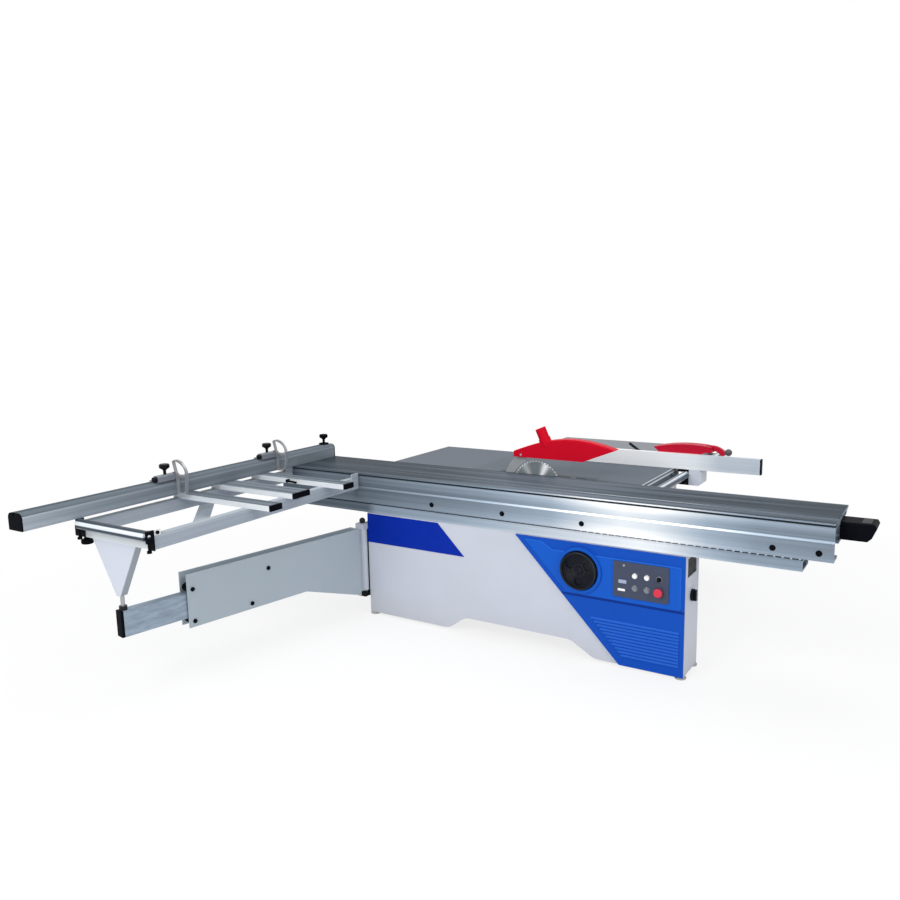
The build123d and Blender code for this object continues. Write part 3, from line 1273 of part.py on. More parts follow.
def tilt_cradle():
    """Two arc segments about the blade's line in the table top, ties, and the lifting columns."""
    pieces = []
    for x in (-ARC_X - ARC_THICK, ARC_X):
        pieces.append(
            ring_x(BLADE_Y, TABLE_TOP, ARC_INNER, ARC_OUTER, ARC_START, ARC_END, x, x + ARC_THICK)
        )
    column_y = carrier_back() + CARRIER_PLATE + COLUMN_BOSS
    tie_front = column_y - TIE_DEPTH / 2
    tie_back = column_y + TIE_DEPTH / 2
    low_tie = COLUMN_BOTTOM - TIE_HEIGHT
    high_tie = COLUMN_TOP + TIE_HEIGHT
    cradle = block((-ARC_X, tie_front, COLUMN_TOP), (ARC_X, tie_back, high_tie))
    cradle += block((-ARC_X, tie_front, low_tie), (ARC_X, tie_back, COLUMN_BOTTOM))
    arc_tip_y = BLADE_Y + (ARC_INNER + ARC_OUTER) / 2 * cos(radians(ARC_END))
    for x in (-ARC_X, ARC_X - CRADLE_SIDE):
        cradle += block((x, arc_tip_y - TIE_DEPTH, low_tie), (x + CRADLE_SIDE, tie_back, high_tie))
    for piece in pieces:
        cradle += piece
    for column in (-COLUMN_X, COLUMN_X):
        cradle += rod((column, column_y, COLUMN_BOTTOM), (column, column_y, COLUMN_TOP), COLUMN_RADIUS)
    bracket_front = BLADE_Y + SCORING_MOTOR_LENGTH
    score_z = TABLE_TOP + SCORING_RISE - SCORING_RADIUS
    cradle += block(
        (SCORING_X - SCORING_MOTOR, bracket_front, score_z - SCORING_MOTOR),
        (SCORING_X + SCORING_MOTOR, tie_front, COLUMN_TOP + TIE_HEIGHT),
    )
    return cradle


def scoring_motor():
    """Small motor that carries the scoring blade on its shaft."""
    z = TABLE_TOP + SCORING_RISE - SCORING_RADIUS
    front = BLADE_Y + SCORING_THICK / 2 + FLANGE_THICK + TURN_GAP
    back = BLADE_Y + SCORING_MOTOR_LENGTH
    motor = rod((SCORING_X, front, z), (SCORING_X, back, z), SCORING_MOTOR)
    bore = MOTOR_SHAFT / 2 + TURN_GAP
    return motor - rod((SCORING_X, front - 1, z), (SCORING_X, front + SCORING_BORE_DEPTH, z), bore)


def scoring_blade():
    """Scoring plate with its flanges and shaft stub."""
    z = TABLE_TOP + SCORING_RISE - SCORING_RADIUS
    disc = toothed_disc(SCORING_RADIUS, SCORING_TEETH, TOOTH_DEPTH / 2, 1, SCORING_THICK, SCORING_X, z)
    left = BLADE_Y - SCORING_THICK / 2 - FLANGE_THICK
    right = BLADE_Y + SCORING_THICK / 2 + FLANGE_THICK
    disc += rod((SCORING_X, left, z), (SCORING_X, right, z), FLANGE_RADIUS / 2)
    disc += rod((SCORING_X, right, z), (SCORING_X, right + SCORING_SHAFT, z), MOTOR_SHAFT / 2)
    return disc


def tilt_saddles():
    """Two shoes on brackets from the frame's sides, under the cradle's arcs."""
    shoes = []
    for side in (-1, 1):
        near = side * (ARC_X + CRADLE_SIDE / 4)
        wall = side * FRAME_HALF
        low, high = sorted((near, wall))
        shoes.append(
            ring_x(
                BLADE_Y, TABLE_TOP, ARC_OUTER + TURN_GAP, ARC_OUTER + SADDLE_DEPTH, SADDLE_START, SADDLE_END,
                low, high,
            )
        )
    return group(*shoes)


def tilt_gearbox():
    """Closed worm housing behind the front sheet, with the screw that pushes the cradle."""
    front = CABINET_FRONT + SHEET
    back = front + GEARBOX_DEPTH
    left = WHEEL_X - GEARBOX_WIDTH / 2
    right = WHEEL_X + GEARBOX_WIDTH / 2
    half = GEARBOX_HEIGHT / 2
    box = block((left, front, WHEEL_Z - half), (right, back, WHEEL_Z + half))
    box = fillet(box.edges().filter_by(Axis.Y), GEARBOX_HEIGHT / 6)
    box += rod((WHEEL_X, back, WHEEL_Z), (WHEEL_X, back + GEARBOX_SCREW_LENGTH, WHEEL_Z), GEARBOX_SCREW)
    shaft_end = front + GEARBOX_DEPTH / 2
    hole = SHAFT_RADIUS + TURN_GAP
    box -= rod((WHEEL_X, front - 1, WHEEL_Z), (WHEEL_X, shaft_end + TURN_GAP, WHEEL_Z), hole)
    return box


def riving_knife():
    """Curved plate behind the blade that also carries the hood."""
    inner = BLADE_RADIUS + KNIFE_GAP
    outer = inner + KNIFE_WIDTH
    front = BLADE_Y - KNIFE_THICK / 2
    disc = Circle(outer) - Circle(inner)
    low = -inner * 0.3
    high = TABLE_TOP + KNIFE_TOP - ARBOR_Z
    inside = -inner * 0.42
    window = make_face(
        Polyline((-outer - 1, low), (inside, low), (inside, high), (-outer - 1, high), close=True)
    )
    face = Pos(BLADE_X, ARBOR_Z) * (disc & window)
    plate = extrude(Plane.XZ.offset(-front) * face, amount=KNIFE_THICK, dir=(0, 1, 0))
    tab_x = HOOD_PIVOT_X
    tab_z = TABLE_TOP + HOOD_PIVOT_Z
    tab = rod((tab_x, front, tab_z), (tab_x, front + KNIFE_THICK, tab_z), 3 * KNIFE_BOLT)
    reach = HOOD_HALF + KNIFE_BOLT_PROUD
    bolt = rod((tab_x, BLADE_Y - reach, tab_z), (tab_x, BLADE_Y + reach, tab_z), KNIFE_BOLT)
    return plate + tab + bolt


# Guard hood

def hood_outline(shrink):
    """Side view of the hood drawn in by a margin: flat below, a long arched back and a rising nose."""
    left = HOOD_LEFT + shrink
    bottom = TABLE_TOP + HOOD_BOTTOM + shrink
    corner = (left, bottom)
    heel = (left, TABLE_TOP + HOOD_HEEL - shrink)
    crown = (HOOD_CROWN_X, TABLE_TOP + HOOD_CROWN - shrink)
    nose = (HOOD_RIGHT - 3 * shrink, TABLE_TOP + HOOD_NOSE)
    chin = (HOOD_CHIN_X - shrink, bottom)
    back = Spline(heel, crown, nose, tangents=((1, HOOD_HEEL_SLOPE), (1, -HOOD_NOSE_SLOPE)))
    return make_face([back, Line(nose, chin), Line(chin, corner), Line(corner, heel)])


def guard_hood():
    """Hollow arched hood, open below, with a leaning dust spout."""
    front = BLADE_Y - HOOD_HALF
    back = BLADE_Y + HOOD_HALF
    hood = extrude(Plane.XZ.offset(-front) * hood_outline(0), amount=back - front, dir=(0, 1, 0))
    hood = fillet(hood.edges().group_by(Axis.Z)[-1], HOOD_ROUND)
    spout_base = TABLE_TOP + SPOUT_BASE
    lean = radians(SPOUT_LEAN)
    start = (SPOUT_X, BLADE_Y, spout_base)
    end = (SPOUT_X - SPOUT_LENGTH * sin(lean), BLADE_Y, spout_base + SPOUT_LENGTH * cos(lean))
    hood += rod(start, end, SPOUT_RADIUS)
    step = SPOUT_LENGTH - SPIGOT_LENGTH
    collar_end = (SPOUT_X - step * sin(lean), BLADE_Y, spout_base + step * cos(lean))
    hood += rod(start, collar_end, SPOUT_COLLAR)
    inner_front = front + HOOD_WALL
    inner_back = back - HOOD_WALL
    cavity_face = Plane.XZ.offset(-inner_front) * hood_outline(HOOD_WALL)
    cavity = extrude(cavity_face, amount=inner_back - inner_front, dir=(0, 1, 0))
    hood -= cavity
    belly = Pos(0, 0, -3 * HOOD_WALL) * cavity
    hood -= belly
    run = Vector(*end) - Vector(*start)
    far = Vector(*end) + run.normalized()
    hood -= rod(start, (far.X, far.Y, far.Z), SPOUT_RADIUS - SPOUT_WALL)
    pivot_z = TABLE_TOP + HOOD_PIVOT_Z
    hole = KNIFE_BOLT + TURN_GAP
    pin = rod((HOOD_PIVOT_X, front - 1, pivot_z), (HOOD_PIVOT_X, back + 1, pivot_z), hole)
    slot_top = pivot_z + 2 * KNIFE_BOLT
    slot = block(
        (HOOD_LEFT - 1, BLADE_Y - KNIFE_SLOT, TABLE_TOP), (HOOD_PIVOT_X, BLADE_Y + KNIFE_SLOT, slot_top)
    )
    return hood - pin - slot


# Outrigger

def outrigger_beams():
    """Near and far hollow beams with plates against the carriage, the end beam and the flat brace."""
    inner_end = 0.0
    plate_start = inner_end - FRAME_PLATE_LENGTH
    wall = FRAME_BEAM_WALL
    beams = []
    for face in (NEAR_BEAM_X, FAR_BEAM_X):
        left = face - FRAME_BEAM_WIDTH
        beam = block((left, FRAME_OUT, FRAME_BEAM_BOTTOM), (face, inner_end, FRAME_BEAM_TOP))
        beam -= block(
            (left + wall, FRAME_OUT - 1, FRAME_BEAM_BOTTOM + wall),
            (face - wall, plate_start, FRAME_BEAM_TOP - wall),
        )
        beam += block(
            (face, plate_start, FRAME_BEAM_BOTTOM), (face + 2 * wall, inner_end, BAR_TOP - 2 * REST_GAP)
        )
        beams.append(beam)
    left = FAR_BEAM_X
    right = NEAR_BEAM_X - FRAME_BEAM_WIDTH
    end_beam = block((left, FRAME_OUT, FRAME_BEAM_BOTTOM), (right, FRAME_OUT + LEG_FLANGE, FRAME_BEAM_TOP))
    end_beam -= block(
        (left - 1, FRAME_OUT + wall, FRAME_BEAM_BOTTOM + wall),
        (right + 1, FRAME_OUT + LEG_FLANGE - wall, FRAME_BEAM_TOP - wall),
    )
    return group(*beams, end_beam, outrigger_brace())


def outrigger_brace():
    """Flat strip that squares the frame, under the beams."""
    left = FAR_BEAM_X - FRAME_BEAM_WIDTH / 2
    right = NEAR_BEAM_X - FRAME_BEAM_WIDTH / 2
    outline = [
        (left, BRACE_FAR_Y), (right, BRACE_NEAR_Y), (right, BRACE_NEAR_Y + BRACE_WIDTH),
        (left, BRACE_FAR_Y + BRACE_WIDTH),
    ]
    return along_z(outline, FRAME_BEAM_BOTTOM - BRACE_THICK, FRAME_BEAM_BOTTOM)


def cross_bars():
    """Three hollow bars laid over the beams, flush with the working plane."""
    wall = BAR_WALL
    bars = []
    for middle, width, end in BARS:
        front = middle - width / 2
        back = middle + width / 2
        bar = block((BAR_FAR_X, front, FRAME_BEAM_TOP), (end - BAR_CAP, back, BAR_TOP))
        bar -= block(
            (BAR_FAR_X - 1, front + wall, FRAME_BEAM_TOP + wall), (end, back - wall, BAR_TOP - wall)
        )
        bars.append(bar)
    return group(*bars)


def bar_caps():
    """Plastic caps on the bars' near ends and the small clamp lever on the front of the last bar."""
    caps = []
    for middle, width, end in BARS:
        caps.append(
            block((end - BAR_CAP, middle - width / 2, FRAME_BEAM_TOP), (end, middle + width / 2, BAR_TOP))
        )
    middle, width, end = BARS[-1]
    face = middle - width / 2
    z = (FRAME_BEAM_TOP + BAR_TOP) / 2
    hub_end = face - BAR_LEVER_DEPTH
    lever = rod((BAR_LEVER_X, hub_end, z), (BAR_LEVER_X, face, z), BAR_LEVER_HUB)
    lever += rod(
        (BAR_LEVER_X, hub_end + BAR_LEVER_GRIP, z),
        (BAR_LEVER_X + BAR_LEVER_REACH, hub_end - BAR_LEVER_HUB, z), BAR_LEVER_GRIP,
    )
    return group(*caps, lever)


def outrigger_leg():
    """Three-cornered folded leg under the end beam with its foot pin and bush over the swing arm."""
    top = FRAME_BEAM_BOTTOM
    tip = top - LEG_HEIGHT
    half = LEG_TOP_WIDTH / 2
    tip_half = LEG_TIP_WIDTH / 2
    outline = [(LEG_X - half, top), (LEG_X - tip_half, tip), (LEG_X + tip_half, tip), (LEG_X + half, top)]
    front = FRAME_OUT
    back = FRAME_OUT + LEG_FLANGE
    leg = along_y(outline, front, back)
    lean = atan2(half - tip_half, LEG_HEIGHT)
    across = LEG_SHEET / cos(lean)
    inside = [
        (LEG_X - half + across, top + 1), (LEG_X - tip_half + across, tip + LEG_SHEET),
        (LEG_X + tip_half - across, tip + LEG_SHEET), (LEG_X + half - across, top + 1),
    ]
    leg -= along_y(inside, front + LEG_SHEET, back + 1)
    bush_top = TUBE_TOP + SLIDE_GAP + FOOT_BUSH_HEIGHT
    leg += rod((LEG_X, LEG_Y, TUBE_TOP + SLIDE_GAP), (LEG_X, LEG_Y, bush_top), FOOT_BUSH_RADIUS)
    leg += rod((LEG_X, LEG_Y, bush_top), (LEG_X, LEG_Y, tip), FOOT_PIN_RADIUS)
    return leg


def end_roller():
    """Long idle roller with its end pins at the outrigger's outer edge."""
    z = TABLE_TOP - END_ROLLER_RADIUS
    right = END_ROLLER_LEFT + END_ROLLER_LENGTH
    roller = rod((END_ROLLER_LEFT, END_ROLLER_Y, z), (right, END_ROLLER_Y, z), END_ROLLER_RADIUS)
    reach = SLIDE_GAP + END_BRACKET_THICK
    left = END_ROLLER_LEFT
    return roller + rod((left - reach, END_ROLLER_Y, z), (right + reach, END_ROLLER_Y, z), END_ROLLER_PIN)


def roller_brackets():
    """Plastic brackets for the roller's pins, studs below, a pale guide block and the frame's clamp knob."""
    z = TABLE_TOP - END_ROLLER_RADIUS
    right = END_ROLLER_LEFT + END_ROLLER_LENGTH
    foot_top = TABLE_TOP - 2 * END_ROLLER_RADIUS - REST_GAP
    front = END_ROLLER_Y - END_ROLLER_PIN - END_BRACKET_RIM
    hole = END_ROLLER_PIN + TURN_GAP
    pieces = []
    for left in (END_ROLLER_LEFT - SLIDE_GAP - END_BRACKET_THICK, right + SLIDE_GAP):
        inner = left + END_BRACKET_THICK
        if left < LEG_X:
            beam_low = FAR_BEAM_X - FRAME_BEAM_WIDTH
            beam_high = FAR_BEAM_X
        else:
            beam_low = NEAR_BEAM_X - FRAME_BEAM_WIDTH / 2
            beam_high = NEAR_BEAM_X
        bracket = block((left, front, foot_top - END_FOOT_THICK), (inner, FRAME_OUT, TABLE_TOP - REST_GAP))
        bracket += block(
            (min(left, beam_low), FRAME_OUT - END_FOOT_THICK, FRAME_BEAM_BOTTOM),
            (max(inner, beam_high), FRAME_OUT, foot_top),
        )
        bracket -= rod((left - 1, END_ROLLER_Y, z), (inner + 1, END_ROLLER_Y, z), hole)
        stud_x = (left + inner) / 2
        stud_top = foot_top - END_FOOT_THICK
        stud_low = stud_top - END_STUD_LENGTH
        head_top = stud_low + END_STUD_RADIUS
        y = END_ROLLER_Y
        bracket += rod((stud_x, y, head_top), (stud_x, y, stud_top), END_STUD_RADIUS / 2)
        bracket += rod((stud_x, y, stud_low), (stud_x, y, head_top), END_STUD_RADIUS)
        pieces.append(bracket)
    guide_right = NEAR_BEAM_X + END_GUIDE_OVERHANG
    guide_low = FRAME_BEAM_TOP
    guide_high = BAR_TOP - 4 * REST_GAP
    guide = block(
        (NEAR_BEAM_X - FRAME_BEAM_WIDTH, FRAME_OUT, guide_low),
        (guide_right, FRAME_OUT + END_GUIDE_WIDTH, guide_high),
    )
    guide = fillet(guide.edges().filter_by(Axis.Z), END_GUIDE_ROUND)
    guide_y = FRAME_OUT + END_GUIDE_WIDTH / 2
    guide_z = (guide_low + guide_high) / 2
    screw = rod((guide_right, guide_y, guide_z), (guide_right + END_SCREW, guide_y, guide_z), END_SCREW)
    pieces.append(guide + screw)
    knob_x = FAR_BEAM_X + END_STUD_RADIUS
    neck_low = FRAME_BEAM_BOTTOM - FRAME_KNOB_NECK
    neck = Pos(knob_x, LEG_Y, neck_low + FRAME_KNOB_NECK / 2) * Cone(
        FRAME_KNOB_RADIUS * 0.6, FRAME_KNOB_RADIUS * 0.3, FRAME_KNOB_NECK
    )
    head = Pos(knob_x, LEG_Y, neck_low - FRAME_KNOB_THICK / 2) * Cylinder(FRAME_KNOB_RADIUS, FRAME_KNOB_THICK)
    pieces.append(neck + fillet(head.edges(), FRAME_KNOB_THICK * 0.3))
    return group(*pieces)


# Crosscut fence

def fence_section(start, end):
    """Length of the fence's outline: a bar with round upper edges and a tee slot along its top."""
    bar = block((FENCE_FACE_X - FENCE_WIDTH, start, FENCE_BOTTOM), (FENCE_FACE_X, end, FENCE_TOP))
    bar = fillet(bar.edges().filter_by(Axis.Y).group_by(Axis.Z)[-1], FENCE_ROUND)
    mouth = FENCE_SLOT / 2
    mouth_floor = FENCE_TOP - FENCE_SLOT_DEPTH / 2
    bar -= block(
        (FENCE_MID_X - mouth, start - 1, mouth_floor - 1), (FENCE_MID_X + mouth, end + 1, FENCE_TOP + 1)
    )
    bar -= block(
        (FENCE_MID_X - FENCE_SLOT, start - 1, FENCE_TOP - FENCE_SLOT_DEPTH),
        (FENCE_MID_X + FENCE_SLOT, end + 1, mouth_floor),
    )
    return bar


def crosscut_fence():
    """Hollow fence extrusion between its end caps."""
    out = FENCE_OUT + FENCE_CAP
    inside = FENCE_IN - FENCE_CAP
    wall = FENCE_WALL
    hollow = block(
        (FENCE_FACE_X - FENCE_WIDTH + wall, out - 1, FENCE_BOTTOM + wall),
        (FENCE_FACE_X - wall, inside + 1, FENCE_TOP - FENCE_SLOT_DEPTH - 2 * wall),
    )
    return fence_section(out, inside) - hollow


def fence_end_caps():
    """Plastic caps on both ends of the fence, of its own outline."""
    return group(
        fence_section(FENCE_OUT, FENCE_OUT + FENCE_CAP), fence_section(FENCE_IN - FENCE_CAP, FENCE_IN)
    )


def clamp_knob(x, y, base):
    """Knob with a slim neck that flares under the head, standing on a level."""
    neck = Pos(x, y, base + KNOB_RISE / 2) * Cylinder(KNOB_NECK, KNOB_RISE)
    flare_height = KNOB_RISE / 3
    flare = Pos(x, y, base + KNOB_RISE - flare_height / 2) * Cone(KNOB_NECK, KNOB_RADIUS * 0.7, flare_height)
    head = Pos(x, y, base + KNOB_RISE + KNOB_HEIGHT / 2) * Cylinder(KNOB_RADIUS, KNOB_HEIGHT)
    return neck + flare + fillet(head.edges(), KNOB_HEIGHT * 0.3)


def fence_clamp():
    """Clamp block and knob that hold the fence down near the blade."""
    half = CLAMP_WIDTH / 2
    top = FENCE_TOP + CLAMP_HEIGHT
    foot = block((FENCE_MID_X - half, CLAMP_Y - half, FENCE_TOP), (FENCE_MID_X + half, CLAMP_Y + half, top))
    return foot + clamp_knob(FENCE_MID_X, CLAMP_Y, top)


def stop_body(middle):
    """Flip stop's saddle on the fence: key in the slot, boss, clamp knob, side screw and hinge pin."""
    start = middle - STOP_LENGTH / 2
    end = middle + STOP_LENGTH / 2
    bottom = FENCE_TOP + SLIDE_GAP
    top = bottom + STOP_HEIGHT
    front_x = FENCE_FACE_X - STOP_FRONT
    boss_left = front_x - STOP_BOSS_WIDTH
    boss = block((boss_left, start, bottom), (front_x, end, top))
    boss = fillet(boss.edges().filter_by(Axis.Y).group_by(Axis.Z)[-1], STOP_ROUND)
    saddle = boss + block((front_x - STOP_PLATE_WIDTH, start, bottom), (front_x, end, bottom + STOP_PLATE))
    key = FENCE_SLOT / 2 - SLIDE_GAP
    saddle += block(
        (FENCE_MID_X - key, start, bottom - FENCE_SLOT_DEPTH / 2), (FENCE_MID_X + key, end, bottom)
    )
    knob_x = (boss_left + front_x) / 2
    screw_z = (bottom + top) / 2
    saddle += rod((knob_x, start - STOP_SCREW_LENGTH, screw_z), (knob_x, start, screw_z), STOP_SCREW_RADIUS)
    pin_z = bottom + STOP_PIN_RISE
    pin_x = FENCE_FACE_X - STOP_PIN_BACK
    saddle += rod((pin_x, end, pin_z), (pin_x, end + SLIDE_GAP + STOP_ARM_THICK, pin_z), STOP_PIN)
    return saddle + clamp_knob(knob_x, middle + STOP_KNOB_OFFSET, top)


def stop_arm(middle):
    """Loop-shaped stop on the saddle's pin: a post that leans back over the fence, and two windows."""
    start = middle + STOP_LENGTH / 2 + SLIDE_GAP
    bottom = FENCE_TOP + SLIDE_GAP
    pin_z = bottom + STOP_PIN_RISE
    pin_x = FENCE_FACE_X - STOP_PIN_BACK
    post = FENCE_FACE_X + SLIDE_GAP
    low = FENCE_BOTTOM + REST_GAP
    high = FENCE_TOP + STOP_ARM_TOP
    width = STOP_ARM_WIDTH
    rim = STOP_ARM_RIM

    def loop(margin):
        foot = (post + margin, low + margin)
        knee = (post + margin, bottom + rim)
        tip = (post - STOP_ARM_LEAN + margin, high - rim)
        crest = (post + rim, high - margin)
        shoulder = (post + width * 0.86 - margin, high - STOP_ARM_SHOULDER)
        cheek = (post + width - margin, pin_z + rim)
        jaw = (post + width * 0.93 - margin, low + 3 * rim)
        sole = (post + width * 0.38, low + margin)
        bend = (post + width * 0.78 - margin, low + rim + margin * 0.6)
        return make_face([
            Line(foot, knee), Line(knee, tip), Spline(tip, crest, shoulder, cheek), Line(cheek, jaw),
            ThreePointArc(jaw, bend, sole), Line(sole, foot),
        ])

    waist_low = pin_z - rim / 2
    waist_high = pin_z + rim / 2
    waist = make_face(
        Polyline((post, waist_low), (post + width, waist_low), (post + width, waist_high), (post, waist_high),
                 close=True)
    )
    face = loop(0) - (loop(rim) - waist)
    arm = extrude(Plane.XZ.offset(-start) * face, amount=STOP_ARM_THICK, dir=(0, 1, 0))
    end = start + STOP_ARM_THICK
    arm += rod((pin_x, start, pin_z), (pin_x, end, pin_z), STOP_PIN + rim)
    arm += block((pin_x, start, pin_z - rim), (post + rim, end, pin_z + rim))
    return arm - rod((pin_x, start - 1, pin_z), (pin_x, end + 1, pin_z), STOP_PIN + TURN_GAP)


# Swing arm

def arm_hinge_blocks():
    """Upper and lower bearing blocks on the cabinet's left end, with a strip between them."""
    half = BEARING_HALF
    hole = HINGE_RADIUS + TURN_GAP
    blocks = []
    for base in (HINGE_BOTTOM, HINGE_TOP - BEARING_HEIGHT):
        top = base + BEARING_HEIGHT
        bearing = block((HINGE_X - half, HINGE_Y - half, base), (HINGE_X + half, HINGE_Y + half, top))
        bearing += block((HINGE_X, CABINET_FRONT + SHEET, base), (CABINET_LEFT, HINGE_Y + 2 * half, top))
        bearing -= rod((HINGE_X, HINGE_Y, base - 1), (HINGE_X, HINGE_Y, top + 1), hole)
        blocks.append(bearing)
    strip = block(
        (HINGE_X, HINGE_Y + half, HINGE_BOTTOM + BEARING_HEIGHT),
        (CABINET_LEFT, HINGE_Y + 2 * half, HINGE_TOP - BEARING_HEIGHT),
    )
    return group(*blocks, strip)


def swing_arm():
    """Hinge column with two plates that hold the sliding tube between them."""
    low = HINGE_BOTTOM + BEARING_HEIGHT + SLIDE_GAP
    high = HINGE_TOP - BEARING_HEIGHT - SLIDE_GAP
    column = Pos(0, 0, (low + high) / 2) * Cylinder(COLUMN_OUTER, high - low)
    column += Pos(0, 0, (HINGE_BOTTOM + HINGE_TOP) / 2) * Cylinder(HINGE_RADIUS, HINGE_TOP - HINGE_BOTTOM)
    column += Pos(0, 0, HINGE_TOP + HINGE_KNOB * 0.8) * Sphere(HINGE_KNOB)
    neck = HINGE_RADIUS
    column += block((0, -neck, low), (ARM_START + neck, neck, high))
    outline = [
        (ARM_START, ARM_ROOT_BOTTOM), (ARM_ROOT_LENGTH, ARM_BOTTOM),
        (ARM_LENGTH, ARM_BOTTOM), (ARM_LENGTH, ARM_TOP), (ARM_START, ARM_TOP),
    ]
    inner = ARM_INNER / 2
    column += along_y(outline, inner, inner + ARM_PLATE)
    column += along_y(outline, -inner - ARM_PLATE, -inner)
    end = ARM_START + HINGE_RADIUS
    web = [(ARM_START, low), (end, low), (end, ARM_TOP), (ARM_START, ARM_TOP)]
    column += along_y(web, -inner, inner)
    return ARM_PLACE * column


def arm_rollers():
    """Guide rollers above and below the tube with the bolts that carry them."""
    outer = ARM_INNER / 2 + ARM_PLATE
    inner = ARM_INNER / 2 - SLIDE_GAP
    upper = TUBE_TOP + SLIDE_GAP + ARM_ROLLER_RADIUS
    lower = TUBE_BOTTOM - SLIDE_GAP - ARM_ROLLER_RADIUS
    spots = [(x, upper) for x in ARM_UPPER_ROLLERS] + [(x, lower) for x in ARM_LOWER_ROLLERS]
    rollers = []
    for x, z in spots:
        roller = rod((x, -inner, z), (x, inner, z), ARM_ROLLER_RADIUS)
        for side in (-1, 1):
            roller += rod((x, side * inner, z), (x, side * (outer + ARM_BOLT_PROUD), z), ARM_BOLT_RADIUS)
            roller += rod((x, side * outer, z), (x, side * (outer + ARM_BOLT_PROUD), z), ARM_BOLT_HEAD)
        rollers.append(ARM_PLACE * roller)
    return group(*rollers)


def arm_bolt_holes():
    """Holes through the arm's plates for the roller bolts."""
    outer = ARM_INNER / 2 + ARM_PLATE
    upper = TUBE_TOP + SLIDE_GAP + ARM_ROLLER_RADIUS
    lower = TUBE_BOTTOM - SLIDE_GAP - ARM_ROLLER_RADIUS
    spots = [(x, upper) for x in ARM_UPPER_ROLLERS] + [(x, lower) for x in ARM_LOWER_ROLLERS]
    holes = [rod((x, -outer - 1, z), (x, outer + 1, z), ARM_BOLT_RADIUS) for x, z in spots]
    return [ARM_PLACE * hole for hole in holes]


def arm_tube():
    """Hollow tube that slides out of the swing arm under the leg's foot."""
    half = TUBE_WIDTH / 2
    end = ARM_REACH + TUBE_OVERHANG - TUBE_END_CAP
    tube = block((TUBE_TAIL, -half, TUBE_BOTTOM), (end, half, TUBE_TOP))
    wall = TUBE_WALL
    tube -= block((TUBE_TAIL - 1, wall - half, TUBE_BOTTOM + wall), (end + 1, half - wall, TUBE_TOP - wall))
    return ARM_PLACE * tube


def tube_end_cap():
    """Plastic cap on the tube's outer end."""
    half = TUBE_WIDTH / 2
    end = ARM_REACH + TUBE_OVERHANG
    return ARM_PLACE * block((end - TUBE_END_CAP, -half, TUBE_BOTTOM), (end, half, TUBE_TOP))


# Every piece under its node's name

arm = swing_arm()
for hole in arm_bolt_holes():
    arm -= hole

nodes = {
    "carriage_profile": carriage_profile(),
    "push_handle": push_handle(),
    "base_beam": base_beam(),
    "roller_cage": roller_cage(),
    "cabinet_front": cabinet_front(),
    "cabinet_ends": cabinet_ends(),
    "saw_frame": saw_frame(),
    "levelling_feet": levelling_feet(),
    "isolator_knob": isolator_knob(),
    "blue_fascia": blue_fascia(),
    "label_panel": label_panel(),
    "control_plate": control_plate(),
    "push_button_1": push_button(0, 1),
    "push_button_2": push_button(1, 1),
    "push_button_3": push_button(0, 0),
    "push_button_4": push_button(1, 0),
    "selector_knob": selector_knob(),
    "emergency_stop": emergency_stop(),
    "handwheel": handwheel(),
    "main_table": main_table(),
    "table_insert": table_insert(),
    "rear_table": rear_table(),
    "side_table": side_table(),
    "table_struts": table_struts(),
    "rip_rail": rip_rail(),
    "rip_slider": rip_slider(),
    "rip_profile": rip_profile(),
    "rip_casting": rip_casting(),
    "rip_lever": rip_lever(),
    "main_blade": main_blade(),
    "saw_arbor": saw_arbor(),
    "motor_pulley": motor_pulley(),
    "drive_belt": drive_belt(),
    "lift_carrier": lift_carrier(),
    "main_motor": main_motor(),
    "tilt_cradle": tilt_cradle(),
    "scoring_motor": scoring_motor(),
    "scoring_blade": scoring_blade(),
    "tilt_saddles": tilt_saddles(),
    "tilt_gearbox": tilt_gearbox(),
    "riving_knife": riving_knife(),
    "guard_hood": guard_hood(),
    "outrigger_beams": outrigger_beams(),
    "cross_bars": cross_bars(),
    "bar_caps": bar_caps(),
    "outrigger_leg": outrigger_leg(),
    "end_roller": end_roller(),
    "roller_brackets": roller_brackets(),
    "crosscut_fence": crosscut_fence(),
    "fence_end_caps": fence_end_caps(),
    "fence_clamp": fence_clamp(),
    "stop_body_1": stop_body(STOP_YS[0]),
    "stop_arm_1": stop_arm(STOP_YS[0]),
    "stop_body_2": stop_body(STOP_YS[1]),
    "stop_arm_2": stop_arm(STOP_YS[1]),
    "arm_hinge_blocks": arm_hinge_blocks(),
    "swing_arm": arm,
    "arm_rollers": arm_rollers(),
    "arm_tube": arm_tube(),
    "tube_end_cap": tube_end_cap(),
}

os.makedirs("parts", exist_ok=True)
for name, shape in nodes.items():
    export_step(shape, f"parts/{name}.step")
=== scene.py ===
import math

import bmesh
import bpy
import numpy as np
from mathutils import Matrix, Vector


